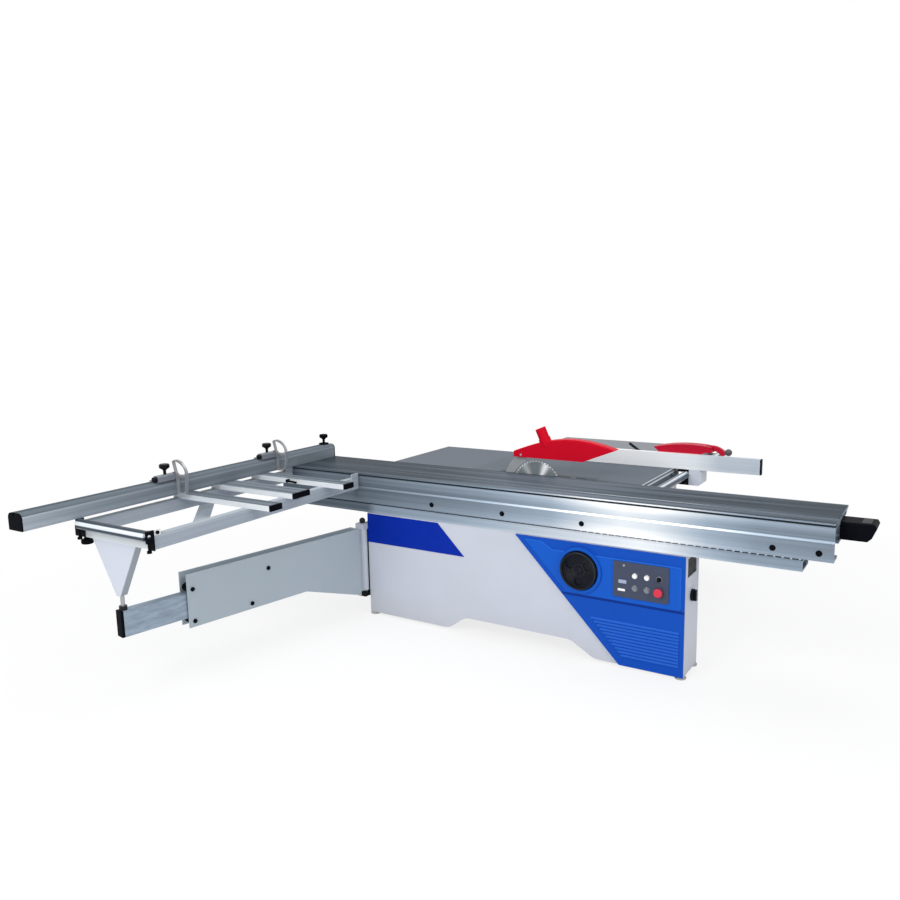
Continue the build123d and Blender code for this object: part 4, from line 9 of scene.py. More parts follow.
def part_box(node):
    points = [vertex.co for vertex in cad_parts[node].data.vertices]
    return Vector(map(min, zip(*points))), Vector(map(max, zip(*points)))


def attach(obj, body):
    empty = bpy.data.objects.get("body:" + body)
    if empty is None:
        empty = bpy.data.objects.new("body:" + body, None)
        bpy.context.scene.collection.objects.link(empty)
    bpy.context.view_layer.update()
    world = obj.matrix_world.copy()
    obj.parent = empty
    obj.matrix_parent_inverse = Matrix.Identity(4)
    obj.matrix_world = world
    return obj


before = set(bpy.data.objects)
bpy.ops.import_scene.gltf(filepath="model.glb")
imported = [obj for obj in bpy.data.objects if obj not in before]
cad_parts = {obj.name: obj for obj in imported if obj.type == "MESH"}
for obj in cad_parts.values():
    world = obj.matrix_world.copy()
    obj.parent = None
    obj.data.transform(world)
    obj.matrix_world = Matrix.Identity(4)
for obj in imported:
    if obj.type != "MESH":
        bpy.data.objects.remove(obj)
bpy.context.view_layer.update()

# The place where the saw stands: a plain pale floor under soft lamps, all white behind it.
# The camera stands on the outrigger's side, towards the push handle's end, about a metre above
# the working plane.
CAMERA_PLACE = Vector((2.003, -3.831, 1.812))
CAMERA_TURN = math.radians(32.345)
CAMERA_PITCH = math.radians(9.516)
CAMERA_ROLL = math.radians(-1.2146)
FOCAL_PIXELS = 840.65
IMAGE_PIXELS = 900
SENSOR_WIDTH = 36.0

forward = Vector((
    -math.sin(CAMERA_TURN) * math.cos(CAMERA_PITCH),
    math.cos(CAMERA_TURN) * math.cos(CAMERA_PITCH),
    -math.sin(CAMERA_PITCH),
))
level_right = forward.cross(Vector((0, 0, 1))).normalized()
level_up = level_right.cross(forward)
camera_right = level_right * math.cos(CAMERA_ROLL) + level_up * math.sin(CAMERA_ROLL)
camera_up = level_up * math.cos(CAMERA_ROLL) - level_right * math.sin(CAMERA_ROLL)
camera_data = bpy.data.cameras.new("camera")
camera_data.sensor_fit = "HORIZONTAL"
camera_data.sensor_width = SENSOR_WIDTH
camera_data.lens = SENSOR_WIDTH * FOCAL_PIXELS / IMAGE_PIXELS
camera = bpy.data.objects.new("camera", camera_data)
camera_axes = Matrix((camera_right, camera_up, -forward)).transposed().to_4x4()
camera_axes.translation = CAMERA_PLACE
camera.matrix_world = camera_axes
bpy.context.scene.collection.objects.link(camera)
bpy.context.scene.camera = camera
bpy.context.scene.view_settings.view_transform = "Standard"


class Signal:
    """One value inside a shader. Each operator adds one Math node."""

    def __init__(self, tree, socket):
        self.tree = tree
        self.socket = socket

    def node(self, kind, settings, inputs, output=0):
        """Add a node: its type, then its settings, then a value or a link for each socket.
        The setting "stops" lays grey stops on a ramp, each a position and a level from 0 to 1."""
        made = self.tree.nodes.new(kind)
        for name, value in settings.items():
            if name == "stops":
                elements = made.color_ramp.elements
                while len(elements) < len(value):
                    elements.new(1.0)
                for element, (position, level) in zip(elements, value):
                    element.position = position
                    element.color = (level, level, level, 1.0)
            else:
                setattr(made, name, value)
        for name, value in inputs.items():
            if isinstance(value, Signal):
                self.tree.links.new(value.socket, made.inputs[name])
            else:
                made.inputs[name].default_value = value
        return Signal(self.tree, made.outputs[output] if made.outputs else None)

    def __add__(self, other):
        return self.node("ShaderNodeMath", {"operation": "ADD"}, {0: self, 1: other})

    def __sub__(self, other):
        return self.node("ShaderNodeMath", {"operation": "SUBTRACT"}, {0: self, 1: other})

    def __rsub__(self, other):
        return self.node("ShaderNodeMath", {"operation": "SUBTRACT"}, {0: other, 1: self})

    def __mul__(self, other):
        return self.node("ShaderNodeMath", {"operation": "MULTIPLY"}, {0: self, 1: other})

    def __gt__(self, other):
        return self.node("ShaderNodeMath", {"operation": "GREATER_THAN"}, {0: self, 1: other})

    def __lt__(self, other):
        return self.node("ShaderNodeMath", {"operation": "LESS_THAN"}, {0: self, 1: other})

    __radd__ = __add__
    __rmul__ = __mul__


HALFWAY = 0.5  # the middle of a signal that runs from 0 to 1


def shown_directly(tree):
    """1 for what the camera, a reflection or glass shows, 0 for light on its way to a surface."""
    path = tree.nodes.new("ShaderNodeLightPath")
    by_camera = Signal(tree, path.outputs["Is Camera Ray"])
    by_gloss = Signal(tree, path.outputs["Is Glossy Ray"])
    by_glass = Signal(tree, path.outputs["Is Transmission Ray"])
    return (by_camera + by_gloss + by_glass) > HALFWAY


AMBIENT_LEVEL = 0.5
AMBIENT_TINT = (0.96, 0.98, 1.0, 1.0)
WHITE = (1.0, 1.0, 1.0, 1.0)
world = bpy.data.worlds.new("white_room")
bpy.context.scene.world = world
world.use_nodes = True
world.node_tree.nodes.clear()
shown = shown_directly(world.node_tree)
ambient = shown.node("ShaderNodeBackground", {}, {"Color": AMBIENT_TINT, "Strength": AMBIENT_LEVEL})
backdrop = shown.node("ShaderNodeBackground", {}, {"Color": WHITE, "Strength": 1.0})
room = shown.node("ShaderNodeMixShader", {}, {0: shown, 1: ambient, 2: backdrop})
shown.node("ShaderNodeOutputWorld", {}, {"Surface": room})

FLOOR_HALF = 14.0
FLOOR_DROP = 0.0005
FLOOR_COLOUR = (0.86, 0.86, 0.87, 1.0)
FLOOR_WHITE_SHARE = 0.8
FLOOR_SOLID_REACH = 1.7
FLOOR_FADE_RUN = 2.2
floor_material = bpy.data.materials.new("pale_floor")
floor_material.use_nodes = True
floor_tree = floor_material.node_tree
floor_tree.nodes.clear()
shown = shown_directly(floor_tree)
floor_matt = shown.node("ShaderNodeBsdfDiffuse", {}, {"Color": FLOOR_COLOUR})
floor_white = shown.node("ShaderNodeEmission", {}, {"Color": WHITE, "Strength": 1.0})
near_inputs = {0: shown * FLOOR_WHITE_SHARE, 1: floor_matt, 2: floor_white}
floor_near = shown.node("ShaderNodeMixShader", {}, near_inputs)
floor_place = Signal(floor_tree, floor_tree.nodes.new("ShaderNodeTexCoord").outputs["Object"])
floor_reach = shown.node("ShaderNodeVectorMath", {"operation": "LENGTH"}, {0: floor_place}, output="Value")
fade_settings = {"operation": "MULTIPLY", "use_clamp": True}
fade_inputs = {0: floor_reach - FLOOR_SOLID_REACH, 1: 1.0 / FLOOR_FADE_RUN}
floor_fade = shown.node("ShaderNodeMath", fade_settings, fade_inputs)
floor_inputs = {0: floor_fade * shown, 1: floor_near, 2: floor_white}
floor_surface = shown.node("ShaderNodeMixShader", {}, floor_inputs)
shown.node("ShaderNodeOutputMaterial", {}, {"Surface": floor_surface})
floor_mesh = bpy.data.meshes.new("floor")
floor_corners = np.array(((-1, -1), (1, -1), (1, 1), (-1, 1)), float) * FLOOR_HALF
floor_points = np.column_stack((floor_corners, np.full(len(floor_corners), -FLOOR_DROP)))
floor_mesh.from_pydata(floor_points.tolist(), [], [(0, 1, 2, 3)])
floor_mesh.materials.append(floor_material)
floor = bpy.data.objects.new("floor", floor_mesh)
bpy.context.scene.collection.objects.link(floor)

LAMP_AIM = Vector((-0.2, -0.2, 0.6))
LAMPS = {
    "key_lamp": ((-1.4, -5.6, 4.6), 4.6, 262.0),
    "fill_lamp": ((5.2, -2.6, 3.6), 3.0, 102.0),
    "top_lamp": ((0.4, 1.2, 5.6), 4.0, 105.0),
}
for lamp_name, (lamp_place, lamp_size, lamp_watts) in LAMPS.items():
    lamp_data = bpy.data.lights.new(lamp_name, "AREA")
    lamp_data.shape = "DISK"
    lamp_data.size = lamp_size
    lamp_data.energy = lamp_watts
    lamp = bpy.data.objects.new(lamp_name, lamp_data)
    aim = LAMP_AIM - Vector(lamp_place)
    lamp.matrix_world = Matrix.Translation(lamp_place) @ aim.to_track_quat("-Z", "Y").to_matrix().to_4x4()
    bpy.context.scene.collection.objects.link(lamp)

# Cabinet and saw frame: folded sheet steel, spot welded at the flanges, with a pale powder coat
# baked on. Struts of the same sheet carry the side table and the outfeed table.
PALE_PAINT = (0.55, 0.578, 0.65)
FLOOR_DUST = (0.42, 0.4, 0.38)
DUST_TOP = 0.16
DUST_GAIN = 5.0
DUST_SCALE = 9.0
DUST_DETAIL = 5.0
PEEL_SCALE = 700.0
PEEL_SWAY = 0.06
PEEL_BUMP = 0.12
PEEL_DEPTH = 0.0004
CLOUD_SCALE = 2.4
CLOUD_DETAIL = 4.0
CLOUD_CONTRAST = 1.6
CLOUD_SWAY = 0.12
X_AXIS = 0
Y_AXIS = 1
Z_AXIS = 2
MIX_FACTOR = 0  # the Mix node's sockets for colours go by number, because their names repeat
MIX_FIRST = 6
MIX_SECOND = 7
MIX_RESULT = 2


def start_finish(name, specular=0.5, metal=0.0):
    """New material, its Principled shader and the piece's own coordinates in metres."""
    material = bpy.data.materials.new(name)
    material.use_nodes = True
    tree = material.node_tree
    shader = tree.nodes["Principled BSDF"]
    shader.inputs["Specular IOR Level"].default_value = specular
    shader.inputs["Metallic"].default_value = metal
    place = Signal(tree, tree.nodes.new("ShaderNodeTexCoord").outputs["Object"])
    return material, shader, place


def feed(shader, links):
    """Link signals to the shader's named sockets."""
    for name, signal in links.items():
        signal.tree.links.new(signal.socket, shader.inputs[name])


def noise(place, scale, detail=2.0):
    """Even noise from 0 to 1 with about one lump in each 1/scale metres."""
    return place.node("ShaderNodeTexNoise", {}, {"Vector": place, "Scale": scale, "Detail": detail})


def axis_value(place, axis):
    """One coordinate of the place."""
    return place.node("ShaderNodeSeparateXYZ", {}, {"Vector": place}, output=axis)


def spread(signal, contrast):
    """The signal pulled away from its middle by a contrast."""
    return signal * contrast + HALFWAY * (1.0 - contrast)


def scaled(colour, share):
    """The colour with each of its three parts multiplied by a share."""
    return tuple(value * share for value in colour)


def blend_colours(factor, first, second):
    """Colour between two, by a factor from 0 to 1. Each colour is a tuple of three or a signal."""
    ends = [value if isinstance(value, Signal) else (*value, 1.0) for value in (first, second)]
    inputs = {MIX_FACTOR: factor, MIX_FIRST: ends[0], MIX_SECOND: ends[1]}
    settings = {"data_type": "RGBA", "clamp_factor": True}
    return factor.node("ShaderNodeMix", settings, inputs, output=MIX_RESULT)


def bumped(height, strength, depth):
    """Normal of a surface with that height, depth in metres."""
    return height.node("ShaderNodeBump", {}, {"Strength": strength, "Distance": depth, "Height": height})


def lay_finish(shader, tone, grain, rough, sway, bump, depth):
    """Give the shader a tone, a roughness that the grain sways about its level, and the grain's relief."""
    feed(shader, {
        "Base Color": tone,
        "Roughness": rough + sway * (grain - HALFWAY),
        "Normal": bumped(grain, bump, depth),
    })


def powder_coat(name, colour, rough=0.43, dust=0.0, shade=0.9, specular=0.4):
    """Baked paint: orange peel in the surface, a faint cloud in its tone and dust near the floor."""
    material, shader, place = start_finish(name, specular)
    peel = noise(place, PEEL_SCALE)
    cloud = noise(place, CLOUD_SCALE, CLOUD_DETAIL)
    tone = blend_colours(spread(cloud, CLOUD_CONTRAST), scaled(colour, shade), colour)
    if dust:
        low = (DUST_TOP - axis_value(place, Z_AXIS)) * DUST_GAIN
        tone = blend_colours(low * noise(place, DUST_SCALE, DUST_DETAIL) * dust, tone, FLOOR_DUST)
    gloss = rough + CLOUD_SWAY * (cloud - HALFWAY)
    lay_finish(shader, tone, peel, gloss, PEEL_SWAY, PEEL_BUMP, PEEL_DEPTH)
    return material


def dress(material, *names):
    """Give these CAD nodes the material."""
    for name in names:
        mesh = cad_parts[name].data
        mesh.materials.clear()
        mesh.materials.append(material)


pale_paint = powder_coat("pale_paint", PALE_PAINT, dust=0.4)
dress(pale_paint, "cabinet_front", "cabinet_ends", "saw_frame", "table_struts")

# Levelling feet: round turned steel feet under the corners of the cabinet and of the saw frame.
# Their plating is scratched and a little tarnished.
FOOT_STEEL = (0.5, 0.5, 0.52)
SCRATCH_SCALE = 240.0
SCRATCH_DETAIL = 6.0
SCRATCH_SWAY = 0.2
SCRATCH_BUMP = 0.05
SCRATCH_DEPTH = 0.0002
TARNISH_SCALE = 7.0
TARNISH_CONTRAST = 1.5


def bright_metal(name, colour, rough=0.22, metal=1.0, shade=0.78):
    """Plated or polished metal: fine scratches in its gloss and a slight tarnish in its tone."""
    material, shader, place = start_finish(name, metal=metal)
    scratch = noise(place, SCRATCH_SCALE, SCRATCH_DETAIL)
    tarnish = noise(place, TARNISH_SCALE)
    tone = blend_colours(spread(tarnish, TARNISH_CONTRAST), scaled(colour, shade), colour)
    lay_finish(shader, tone, scratch, rough, SCRATCH_SWAY, SCRATCH_BUMP, SCRATCH_DEPTH)
    return material


dress(bright_metal("foot_steel", FOOT_STEEL, rough=0.4, metal=0.5), "levelling_feet")

# Vent in the right end: a screen of thin drawn wires, joined where they cross every few
# millimetres and clamped behind the sheet's window. It is darker than the paint round it.
WIRE_GREY = (0.05, 0.052, 0.05)
WIRE_PITCH = 0.0065
WIRE_HALF = 0.0009
WIRE_BEHIND_SHEET = 0.00135
WIRE_FORM = {"power": 0.5, "rows": 5, "columns": 8}
VENT_LOW = (0.060, 0.508)
VENT_HIGH = (0.205, 0.603)
END_SHEET = 0.004
GRAIN_SWAY = 0.16
GRAIN_BUMP = 0.2
GRAIN_DEPTH = 0.0003
FLOW_SCALE = 14.0
FLOW_DETAIL = 3.0
FLOW_CONTRAST = 1.4
FLOW_SWAY = 0.1
POLE_WIDTH = 1e-9
MERGE_REACH = 1e-6


def moulded_plastic(name, colour, rough=0.42, grain=1400.0, shade=0.7, specular=0.3):
    """Moulded plastic or rubber: fine grain in the surface and paler flow marks in its tone."""
    material, shader, place = start_finish(name, specular)
    fine = noise(place, grain)
    flow = noise(place, FLOW_SCALE, FLOW_DETAIL)
    tone = blend_colours(spread(flow, FLOW_CONTRAST), colour, scaled(colour, 1.0 / shade))
    gloss = rough + FLOW_SWAY * (flow - HALFWAY)
    lay_finish(shader, tone, fine, gloss, GRAIN_SWAY, GRAIN_BUMP, GRAIN_DEPTH)
    return material


def rounded_block(centre, half, power=0.25, rows=9, columns=20):
    """Block with rounded edges, a superellipsoid: point(u, v) = centre + half * (c(u) c(v), c(u) s(v), s(u)),
    where c and s are cosine and sine raised to a small power with their sign kept."""
    u = np.linspace(-np.pi / 2, np.pi / 2, rows)[:, None]
    v = (np.arange(columns) + 0.5) * 2 * np.pi / columns

    def curve(value):
        return np.sign(value) * np.abs(value) ** power

    round_u = curve(np.where(np.abs(np.cos(u)) < POLE_WIDTH, 0.0, np.cos(u)))
    grid = np.stack(
        (round_u * curve(np.cos(v)), round_u * curve(np.sin(v)), curve(np.sin(u)) + 0 * v), axis=-1
    )
    return np.asarray(centre) + grid * np.asarray(half)


def put_skins(name, skins, material, body, looped=False):
    """One mesh from grids of points. Rows join the next row and each row closes on itself;
    looped grids also join their last row to the first."""
    points = []
    faces = []
    start = 0
    for skin in skins:
        rows, columns = skin.shape[:2]
        index = start + np.arange(rows * columns).reshape(rows, columns)
        upper = np.roll(index, -1, axis=0) if looped else index[1:]
        lower = index if looped else index[:-1]
        quads = np.stack((lower, np.roll(lower, -1, 1), np.roll(upper, -1, 1), upper), axis=-1)
        points.append(skin.reshape(-1, 3))
        faces.append(quads.reshape(-1, 4))
        start += rows * columns
    mesh = bpy.data.meshes.new(name)
    mesh.from_pydata(np.concatenate(points).tolist(), [], np.concatenate(faces).tolist())
    work = bmesh.new()
    work.from_mesh(mesh)
    bmesh.ops.remove_doubles(work, verts=work.verts, dist=MERGE_REACH)
    bmesh.ops.recalc_face_normals(work, faces=work.faces)
    work.to_mesh(mesh)
    work.free()
    mesh.shade_smooth()
    mesh.materials.append(material)
    piece = bpy.data.objects.new(name, mesh)
    bpy.context.scene.collection.objects.link(piece)
    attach(piece, body)


wire_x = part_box("cabinet_ends")[1].x - END_SHEET - WIRE_BEHIND_SHEET
vent_middle = [(low + high) / 2 for low, high in zip(VENT_LOW, VENT_HIGH)]
vent_half = [(high - low) / 2 for low, high in zip(VENT_LOW, VENT_HIGH)]
upright_half = (WIRE_HALF, WIRE_HALF, vent_half[1])
level_half = (WIRE_HALF, vent_half[0], WIRE_HALF)
upright_wires = [
    rounded_block((wire_x, wire_y, vent_middle[1]), upright_half, **WIRE_FORM)
    for wire_y in np.arange(VENT_LOW[0], VENT_HIGH[0], WIRE_PITCH)
]
level_wires = [
    rounded_block((wire_x, vent_middle[0], wire_z), level_half, **WIRE_FORM)
    for wire_z in np.arange(VENT_LOW[1], VENT_HIGH[1], WIRE_PITCH)
]
wire_metal = moulded_plastic("dark_wire", WIRE_GREY, rough=0.5)
put_skins("vent_screen", upright_wires + level_wires, wire_metal, "base")

# Blue fascia and the plain blue panel at the left: formed panels in satin paint, screwed over the
# cabinet's front. The fascia has a raised field, a wheel bowl and a stack of ribs.
# The bevels of the raised forms carry a painted highlight, the bevel under the field and the
# ground just below it a painted shade, and the ground behind them is a deeper blue.
ROYAL_BLUE = (0.004, 0.074, 0.45)
FIELD_BLUE = (0.006, 0.092, 0.5)
GROUND_BLUE = (0.004, 0.07, 0.435)
RIB_HIGHLIGHT_BLUE = (0.009, 0.104, 0.53)
EDGE_HIGHLIGHT_BLUE = (0.016, 0.135, 0.6)
SHADE_BLUE = (0.001, 0.03, 0.24)
PANEL_BLUE = (0.001, 0.0235, 0.35)
CLADDING_ROUGH = 0.39
CLADDING_SHADE = 0.88
FIELD_FACE = 0.009
GROUND_FACE = 0.015
FACE_MARGIN = 0.0004
FIELD_BOTTOM = 0.35
BOTTOM_EDGE_HALF = 0.009
RIB_TOP = 0.248
SHADOW_DROP = 0.012


def cladding_finish():
    """Blue paint: deep ground, a painted highlight on the slopes, and a painted shade on the edge under the
    raised field and the ground below it.
    """
    material, shader, place = start_finish("blue_cladding", specular=0.1)
    grain = noise(place, PEEL_SCALE)
    cloud = noise(place, CLOUD_SCALE, CLOUD_DETAIL)
    depth = axis_value(place, Y_AXIS)
    height = axis_value(place, Z_AXIS)
    ground = depth > (GROUND_FACE - FACE_MARGIN)
    slope = (depth > (FIELD_FACE + FACE_MARGIN)) * (1 - ground)
    under_field = (height > (FIELD_BOTTOM - BOTTOM_EDGE_HALF)) * (height < (FIELD_BOTTOM + BOTTOM_EDGE_HALF))
    plain_band = (height > RIB_TOP) * (height < FIELD_BOTTOM)
    shadow = plain_band * (height > (FIELD_BOTTOM - SHADOW_DROP)) * ground
    tone = blend_colours(spread(cloud, CLOUD_CONTRAST), scaled(ROYAL_BLUE, CLADDING_SHADE), ROYAL_BLUE)
    tone = blend_colours(ground * (1 - plain_band), tone, GROUND_BLUE)
    tone = blend_colours(depth < (FIELD_FACE + FACE_MARGIN), tone, FIELD_BLUE)
    # Painted highlight on the slopes of the field, the bowl and the ribs; painted shade under the field.
    tone = blend_colours(slope * (1 - under_field), tone, EDGE_HIGHLIGHT_BLUE)
    tone = blend_colours(slope * (height < RIB_TOP), tone, RIB_HIGHLIGHT_BLUE)
    tone = blend_colours(slope * under_field + shadow, tone, SHADE_BLUE)
    gloss = CLADDING_ROUGH + CLOUD_SWAY * (cloud - HALFWAY)
    lay_finish(shader, tone, grain, gloss, PEEL_SWAY, PEEL_BUMP, PEEL_DEPTH)
    return material


dress(cladding_finish(), "blue_fascia")
dress(powder_coat("blue_panel", PANEL_BLUE, rough=0.39, shade=0.82, specular=0.08), "label_panel")

# Controls: a dark switch plate with four push buttons, a selector and a mushroom stop, each but
# the stop in a turned ring, and a pale read-out window; the plate is screwed over a pocket.
# The handwheel, the selector and the rotary isolator are moulded in black phenolic plastic.
PLATE_DARK = (0.055, 0.066, 0.105)
PLATE_GRAIN = 1600.0
PLATE_ROUGH = 0.42
LAMP_GREY = (0.3, 0.31, 0.33)
LENS_POLISH = 0.2
LENS_MARGIN = 0.0006
BUTTON_STANDS_PROUD = 0.008
plate_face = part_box("push_button_1")[0].y + BUTTON_STANDS_PROUD


def switch_plate_finish():
    """Dark foil with fine grain; the lamp lens that stands proud of it is pale and glossy."""
    material, shader, place = start_finish("switch_plate", specular=0.15)
    proud = axis_value(place, Y_AXIS) < (plate_face - LENS_MARGIN)
    tone = blend_colours(proud, PLATE_DARK, LAMP_GREY)
    gloss = PLATE_ROUGH - LENS_POLISH * proud
    lay_finish(shader, tone, noise(place, PLATE_GRAIN), gloss, sway=0.14, bump=0.1, depth=0.0002)
    return material


dress(switch_plate_finish(), "control_plate")
BUTTON_WHITE = (0.78, 0.78, 0.76)
BUTTON_GREY = (0.17, 0.185, 0.215)
STOP_RED = (0.58, 0.024, 0.055)
white_plastic = moulded_plastic("white_button", BUTTON_WHITE, rough=0.3, shade=0.94)
dress(white_plastic, "push_button_1", "push_button_2")
grey_plastic = moulded_plastic("grey_button", BUTTON_GREY, rough=0.3, shade=0.88)
dress(grey_plastic, "push_button_3", "push_button_4")
dress(moulded_plastic("red_button", STOP_RED, rough=0.28, shade=0.85), "emergency_stop")

WHEEL_BLACK = (0.004, 0.006, 0.012)
WHEEL_HIGHLIGHT = (0.055, 0.055, 0.048)
WHEEL_RIMS = ((0.029, 0.033), (0.081, 0.084), (0.094, 0.097))
WHEEL_ROUGH = 0.2
RIM_HIGHLIGHT = 0.45
SECTOR_HIGHLIGHT = 0.3
SECTOR_COUNT = 2
SECTOR_START = 0.5
SMEAR_SCALE = 40.0
SMEAR_DETAIL = 4.0
SMEAR_SWAY = 0.15
POLISH_SCALE = 900.0


def polar(place, centre):
    """Angle and distance about a centre in the plane of x and z: the arc tangent of z over x, and
    the root of their squares' sum."""
    across = axis_value(place, X_AXIS) - centre.x
    upward = axis_value(place, Z_AXIS) - centre.z
    turn = across.node("ShaderNodeMath", {"operation": "ARCTAN2"}, {0: upward, 1: across})
    reach = across.node("ShaderNodeMath", {"operation": "SQRT"}, {0: across * across + upward * upward})
    return turn, reach


def wheel_finish():
    """Polished black phenolic: a painted highlight on its rims and painted reflections in broad sectors,
    blotched by smudges that also sway its gloss.
    """
    low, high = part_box("handwheel")
    material, shader, place = start_finish("wheel_phenolic", specular=0.12)
    turn, reach = polar(place, (low + high) / 2)
    sectors = turn.node("ShaderNodeMath", {"operation": "SINE"}, {0: turn * SECTOR_COUNT + SECTOR_START})
    smudge_and_sheen = noise(place, SMEAR_SCALE, SMEAR_DETAIL)
    # Painted highlights on the rims and painted reflections in two broad sectors.
    painted_highlight = SECTOR_HIGHLIGHT * sectors * smudge_and_sheen
    for inner, outer in WHEEL_RIMS:
        painted_highlight = painted_highlight + RIM_HIGHLIGHT * (reach > inner) * (reach < outer)
    feed(shader, {
        "Base Color": blend_colours(painted_highlight, WHEEL_BLACK, WHEEL_HIGHLIGHT),
        "Roughness": WHEEL_ROUGH + SMEAR_SWAY * smudge_and_sheen,
        "Normal": bumped(noise(place, POLISH_SCALE), strength=0.1, depth=0.0002),
    })
    return material


dress(wheel_finish(), "handwheel")
phenolic = moulded_plastic("black_phenolic", WHEEL_BLACK, rough=0.22, specular=0.12)
dress(phenolic, "selector_knob", "isolator_knob")


def turned_skin(profile, centre, steps):
    """Lathe form about an axis towards the front: point(s, t) = centre + (radius(s) cos t, -height(s),
    radius(s) sin t), for a profile of radius and height."""
    radius, height = np.asarray(profile, float).T[:, :, None]
    turn = np.arange(steps) * 2 * np.pi / steps
    grid = np.stack((radius * np.cos(turn), 0 * turn - height, radius * np.sin(turn)), axis=-1)
    return np.asarray(centre) + grid


RING_CHROME = (0.35, 0.36, 0.39)
RING_WIDTH = 0.0035
RING_PROUD = 0.003
RING_CLEARANCE = 0.0004
# The ring's section, in shares of its width and of its height.
RING_FORM = ((0.0, 0.0), (0.0, 0.8), (0.3, 1.0), (0.7, 1.0), (1.0, 0.6), (1.0, 0.0))
RING_STEPS = 40
ring_skins = []
for ringed in ("push_button_1", "push_button_2", "push_button_3", "push_button_4", "selector_knob"):
    low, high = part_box(ringed)
    inner = (high.x - low.x) / 2 + RING_CLEARANCE
    ring_profile = [(inner + RING_WIDTH * out, RING_PROUD * rise) for out, rise in RING_FORM]
    ring_middle = ((low.x + high.x) / 2, plate_face, (low.z + high.z) / 2)
    ring_skins.append(turned_skin(ring_profile, ring_middle, RING_STEPS))
put_skins("switch_rings", ring_skins, bright_metal("ring_chrome", RING_CHROME), "base", looped=True)

READOUT_PLACE = (0.571, 0.460)
READOUT_HALF = (0.021, 0.0011, 0.009)
READOUT_PALE = (0.32, 0.36, 0.5)
STRIP_PLACE = (0.566, 0.417)
STRIP_HALF = (0.019, 0.0008, 0.006)
PLATE_CORNERS = 0.15
readout = rounded_block((READOUT_PLACE[0], plate_face, READOUT_PLACE[1]), READOUT_HALF, PLATE_CORNERS)
readout_glass = moulded_plastic("readout_window", READOUT_PALE, rough=0.16, shade=0.9)
put_skins("readout_window", [readout], readout_glass, "base")
strip = rounded_block((STRIP_PLACE[0], plate_face, STRIP_PLACE[1]), STRIP_HALF, PLATE_CORNERS)
strip_foil = moulded_plastic("bare_strip", BUTTON_WHITE, rough=0.3, shade=0.92)
put_skins("bare_strip", [strip], strip_foil, "base")

# Base beam and roller cage: the beam is a drawn aluminium box bolted on the cabinet's top. Dark
# steel rollers in a flat cage run in the slit between it and the carriage, and a row of short
# bright turned pins stands along its front edge.
SILVER_DEEP = (0.045, 0.058, 0.072)
SILVER_MIDDLE = (0.33, 0.405, 0.49)
SILVER_LIGHT = (0.9, 0.925, 0.94)
SILVER_MIDDLE_AT = 0.42
SILVER_METAL = 0.25
SILVER_ROUGH = 0.36
STREAK_GAIN = 2.5
BROAD_SHARE = 0.75
BROAD_RUN = 0.35
BROAD_DETAIL = 3.0
FINE_RATIO = 8.0
FINE_RUN = 0.8
BAR_STREAKS = 55.0
MARK_COUNT = 420.0
MARK_SWAY = 0.14
MARK_BUMP = 0.12
MARK_DEPTH = 0.0004


def silver_tone(level, middle):
    """Anodised silver from dark through a middle grey to near white, by a level from 0 to 1 that carries
    painted reflections.
    """
    lower = blend_colours(level * (1.0 / SILVER_MIDDLE_AT), SILVER_DEEP, middle)
    return blend_colours((level - SILVER_MIDDLE_AT) * (1.0 / (1.0 - SILVER_MIDDLE_AT)), lower, SILVER_LIGHT)


def stretched(place, scale):
    """The place with each axis stretched by its own factor."""
    return place.node("ShaderNodeMapping", {}, {"Vector": place, "Scale": scale})


def along_draw(place, along, count, run, detail=2.0):
    """Noise drawn out along one axis: about count lumps in a metre across it and run in a metre along it."""
    scale = [count, count, count]
    scale[along] = run
    return noise(stretched(place, scale), 1.0, detail)


def streaks(place, along, count):
    """Broad and fine painted reflection streaks along the draw, about that many broad ones in a metre,
    swinging about 0.
    """
    broad = along_draw(place, along, count, BROAD_RUN, BROAD_DETAIL)
    fine = along_draw(place, along, count * FINE_RATIO, FINE_RUN)
    return (broad * BROAD_SHARE + fine * (1.0 - BROAD_SHARE) - HALFWAY) * STREAK_GAIN


def level_along(place, axis, low, high, stops):
    """Level from 0 to 1 along an axis, by stops between two ends."""
    share = (axis_value(place, axis) - low) * (1.0 / (high - low))
    return share.node("ShaderNodeValToRGB", {"stops": stops}, {0: share})


def finish_silver(shader, place, along, level, rough=SILVER_ROUGH, middle=SILVER_MIDDLE):
    """Anodised silver of that level, with drawing marks in its gloss and surface."""
    marks = along_draw(place, along, MARK_COUNT, FINE_RUN)
    lay_finish(shader, silver_tone(level, middle), marks, rough, MARK_SWAY, MARK_BUMP, MARK_DEPTH)


def drawn_metal(
    name, along, bands, swing, count=BAR_STREAKS, specular=0.0, metal=SILVER_METAL, rough=SILVER_ROUGH
):
    """Drawn bar: painted reflection streaks along the draw about one level, or about painted reflection bands
    given by axis, ends and stops.
    """
    material, shader, place = start_finish(name, specular, metal)
    level = level_along(place, *bands) if isinstance(bands, tuple) else bands
    finish_silver(shader, place, along, level + swing * streaks(place, along, count), rough)
    return material


# Stops along the beam paint its reflections: dull where it runs out past the cabinet, palest beside the
# operator's place.
BEAM_REFLECTION_STOPS = (
    (0.0, 0.08), (0.165, 0.11), (0.185, 0.33), (0.36, 0.37), (0.5, 0.52), (0.68, 0.8), (0.74, 0.92),
    (0.78, 0.85), (0.84, 0.52), (0.9, 0.35), (1.0, 0.32),
)
ROLLER_DARK = (0.03, 0.031, 0.036)
beam_low, beam_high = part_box("base_beam")
beam_bands = (X_AXIS, beam_low.x, beam_high.x, BEAM_REFLECTION_STOPS)
dress(drawn_metal("beam_aluminium", X_AXIS, beam_bands, swing=0.16, count=70.0), "base_beam")
dress(bright_metal("roller_steel_dark", ROLLER_DARK, rough=0.4, metal=0.3), "roller_cage")

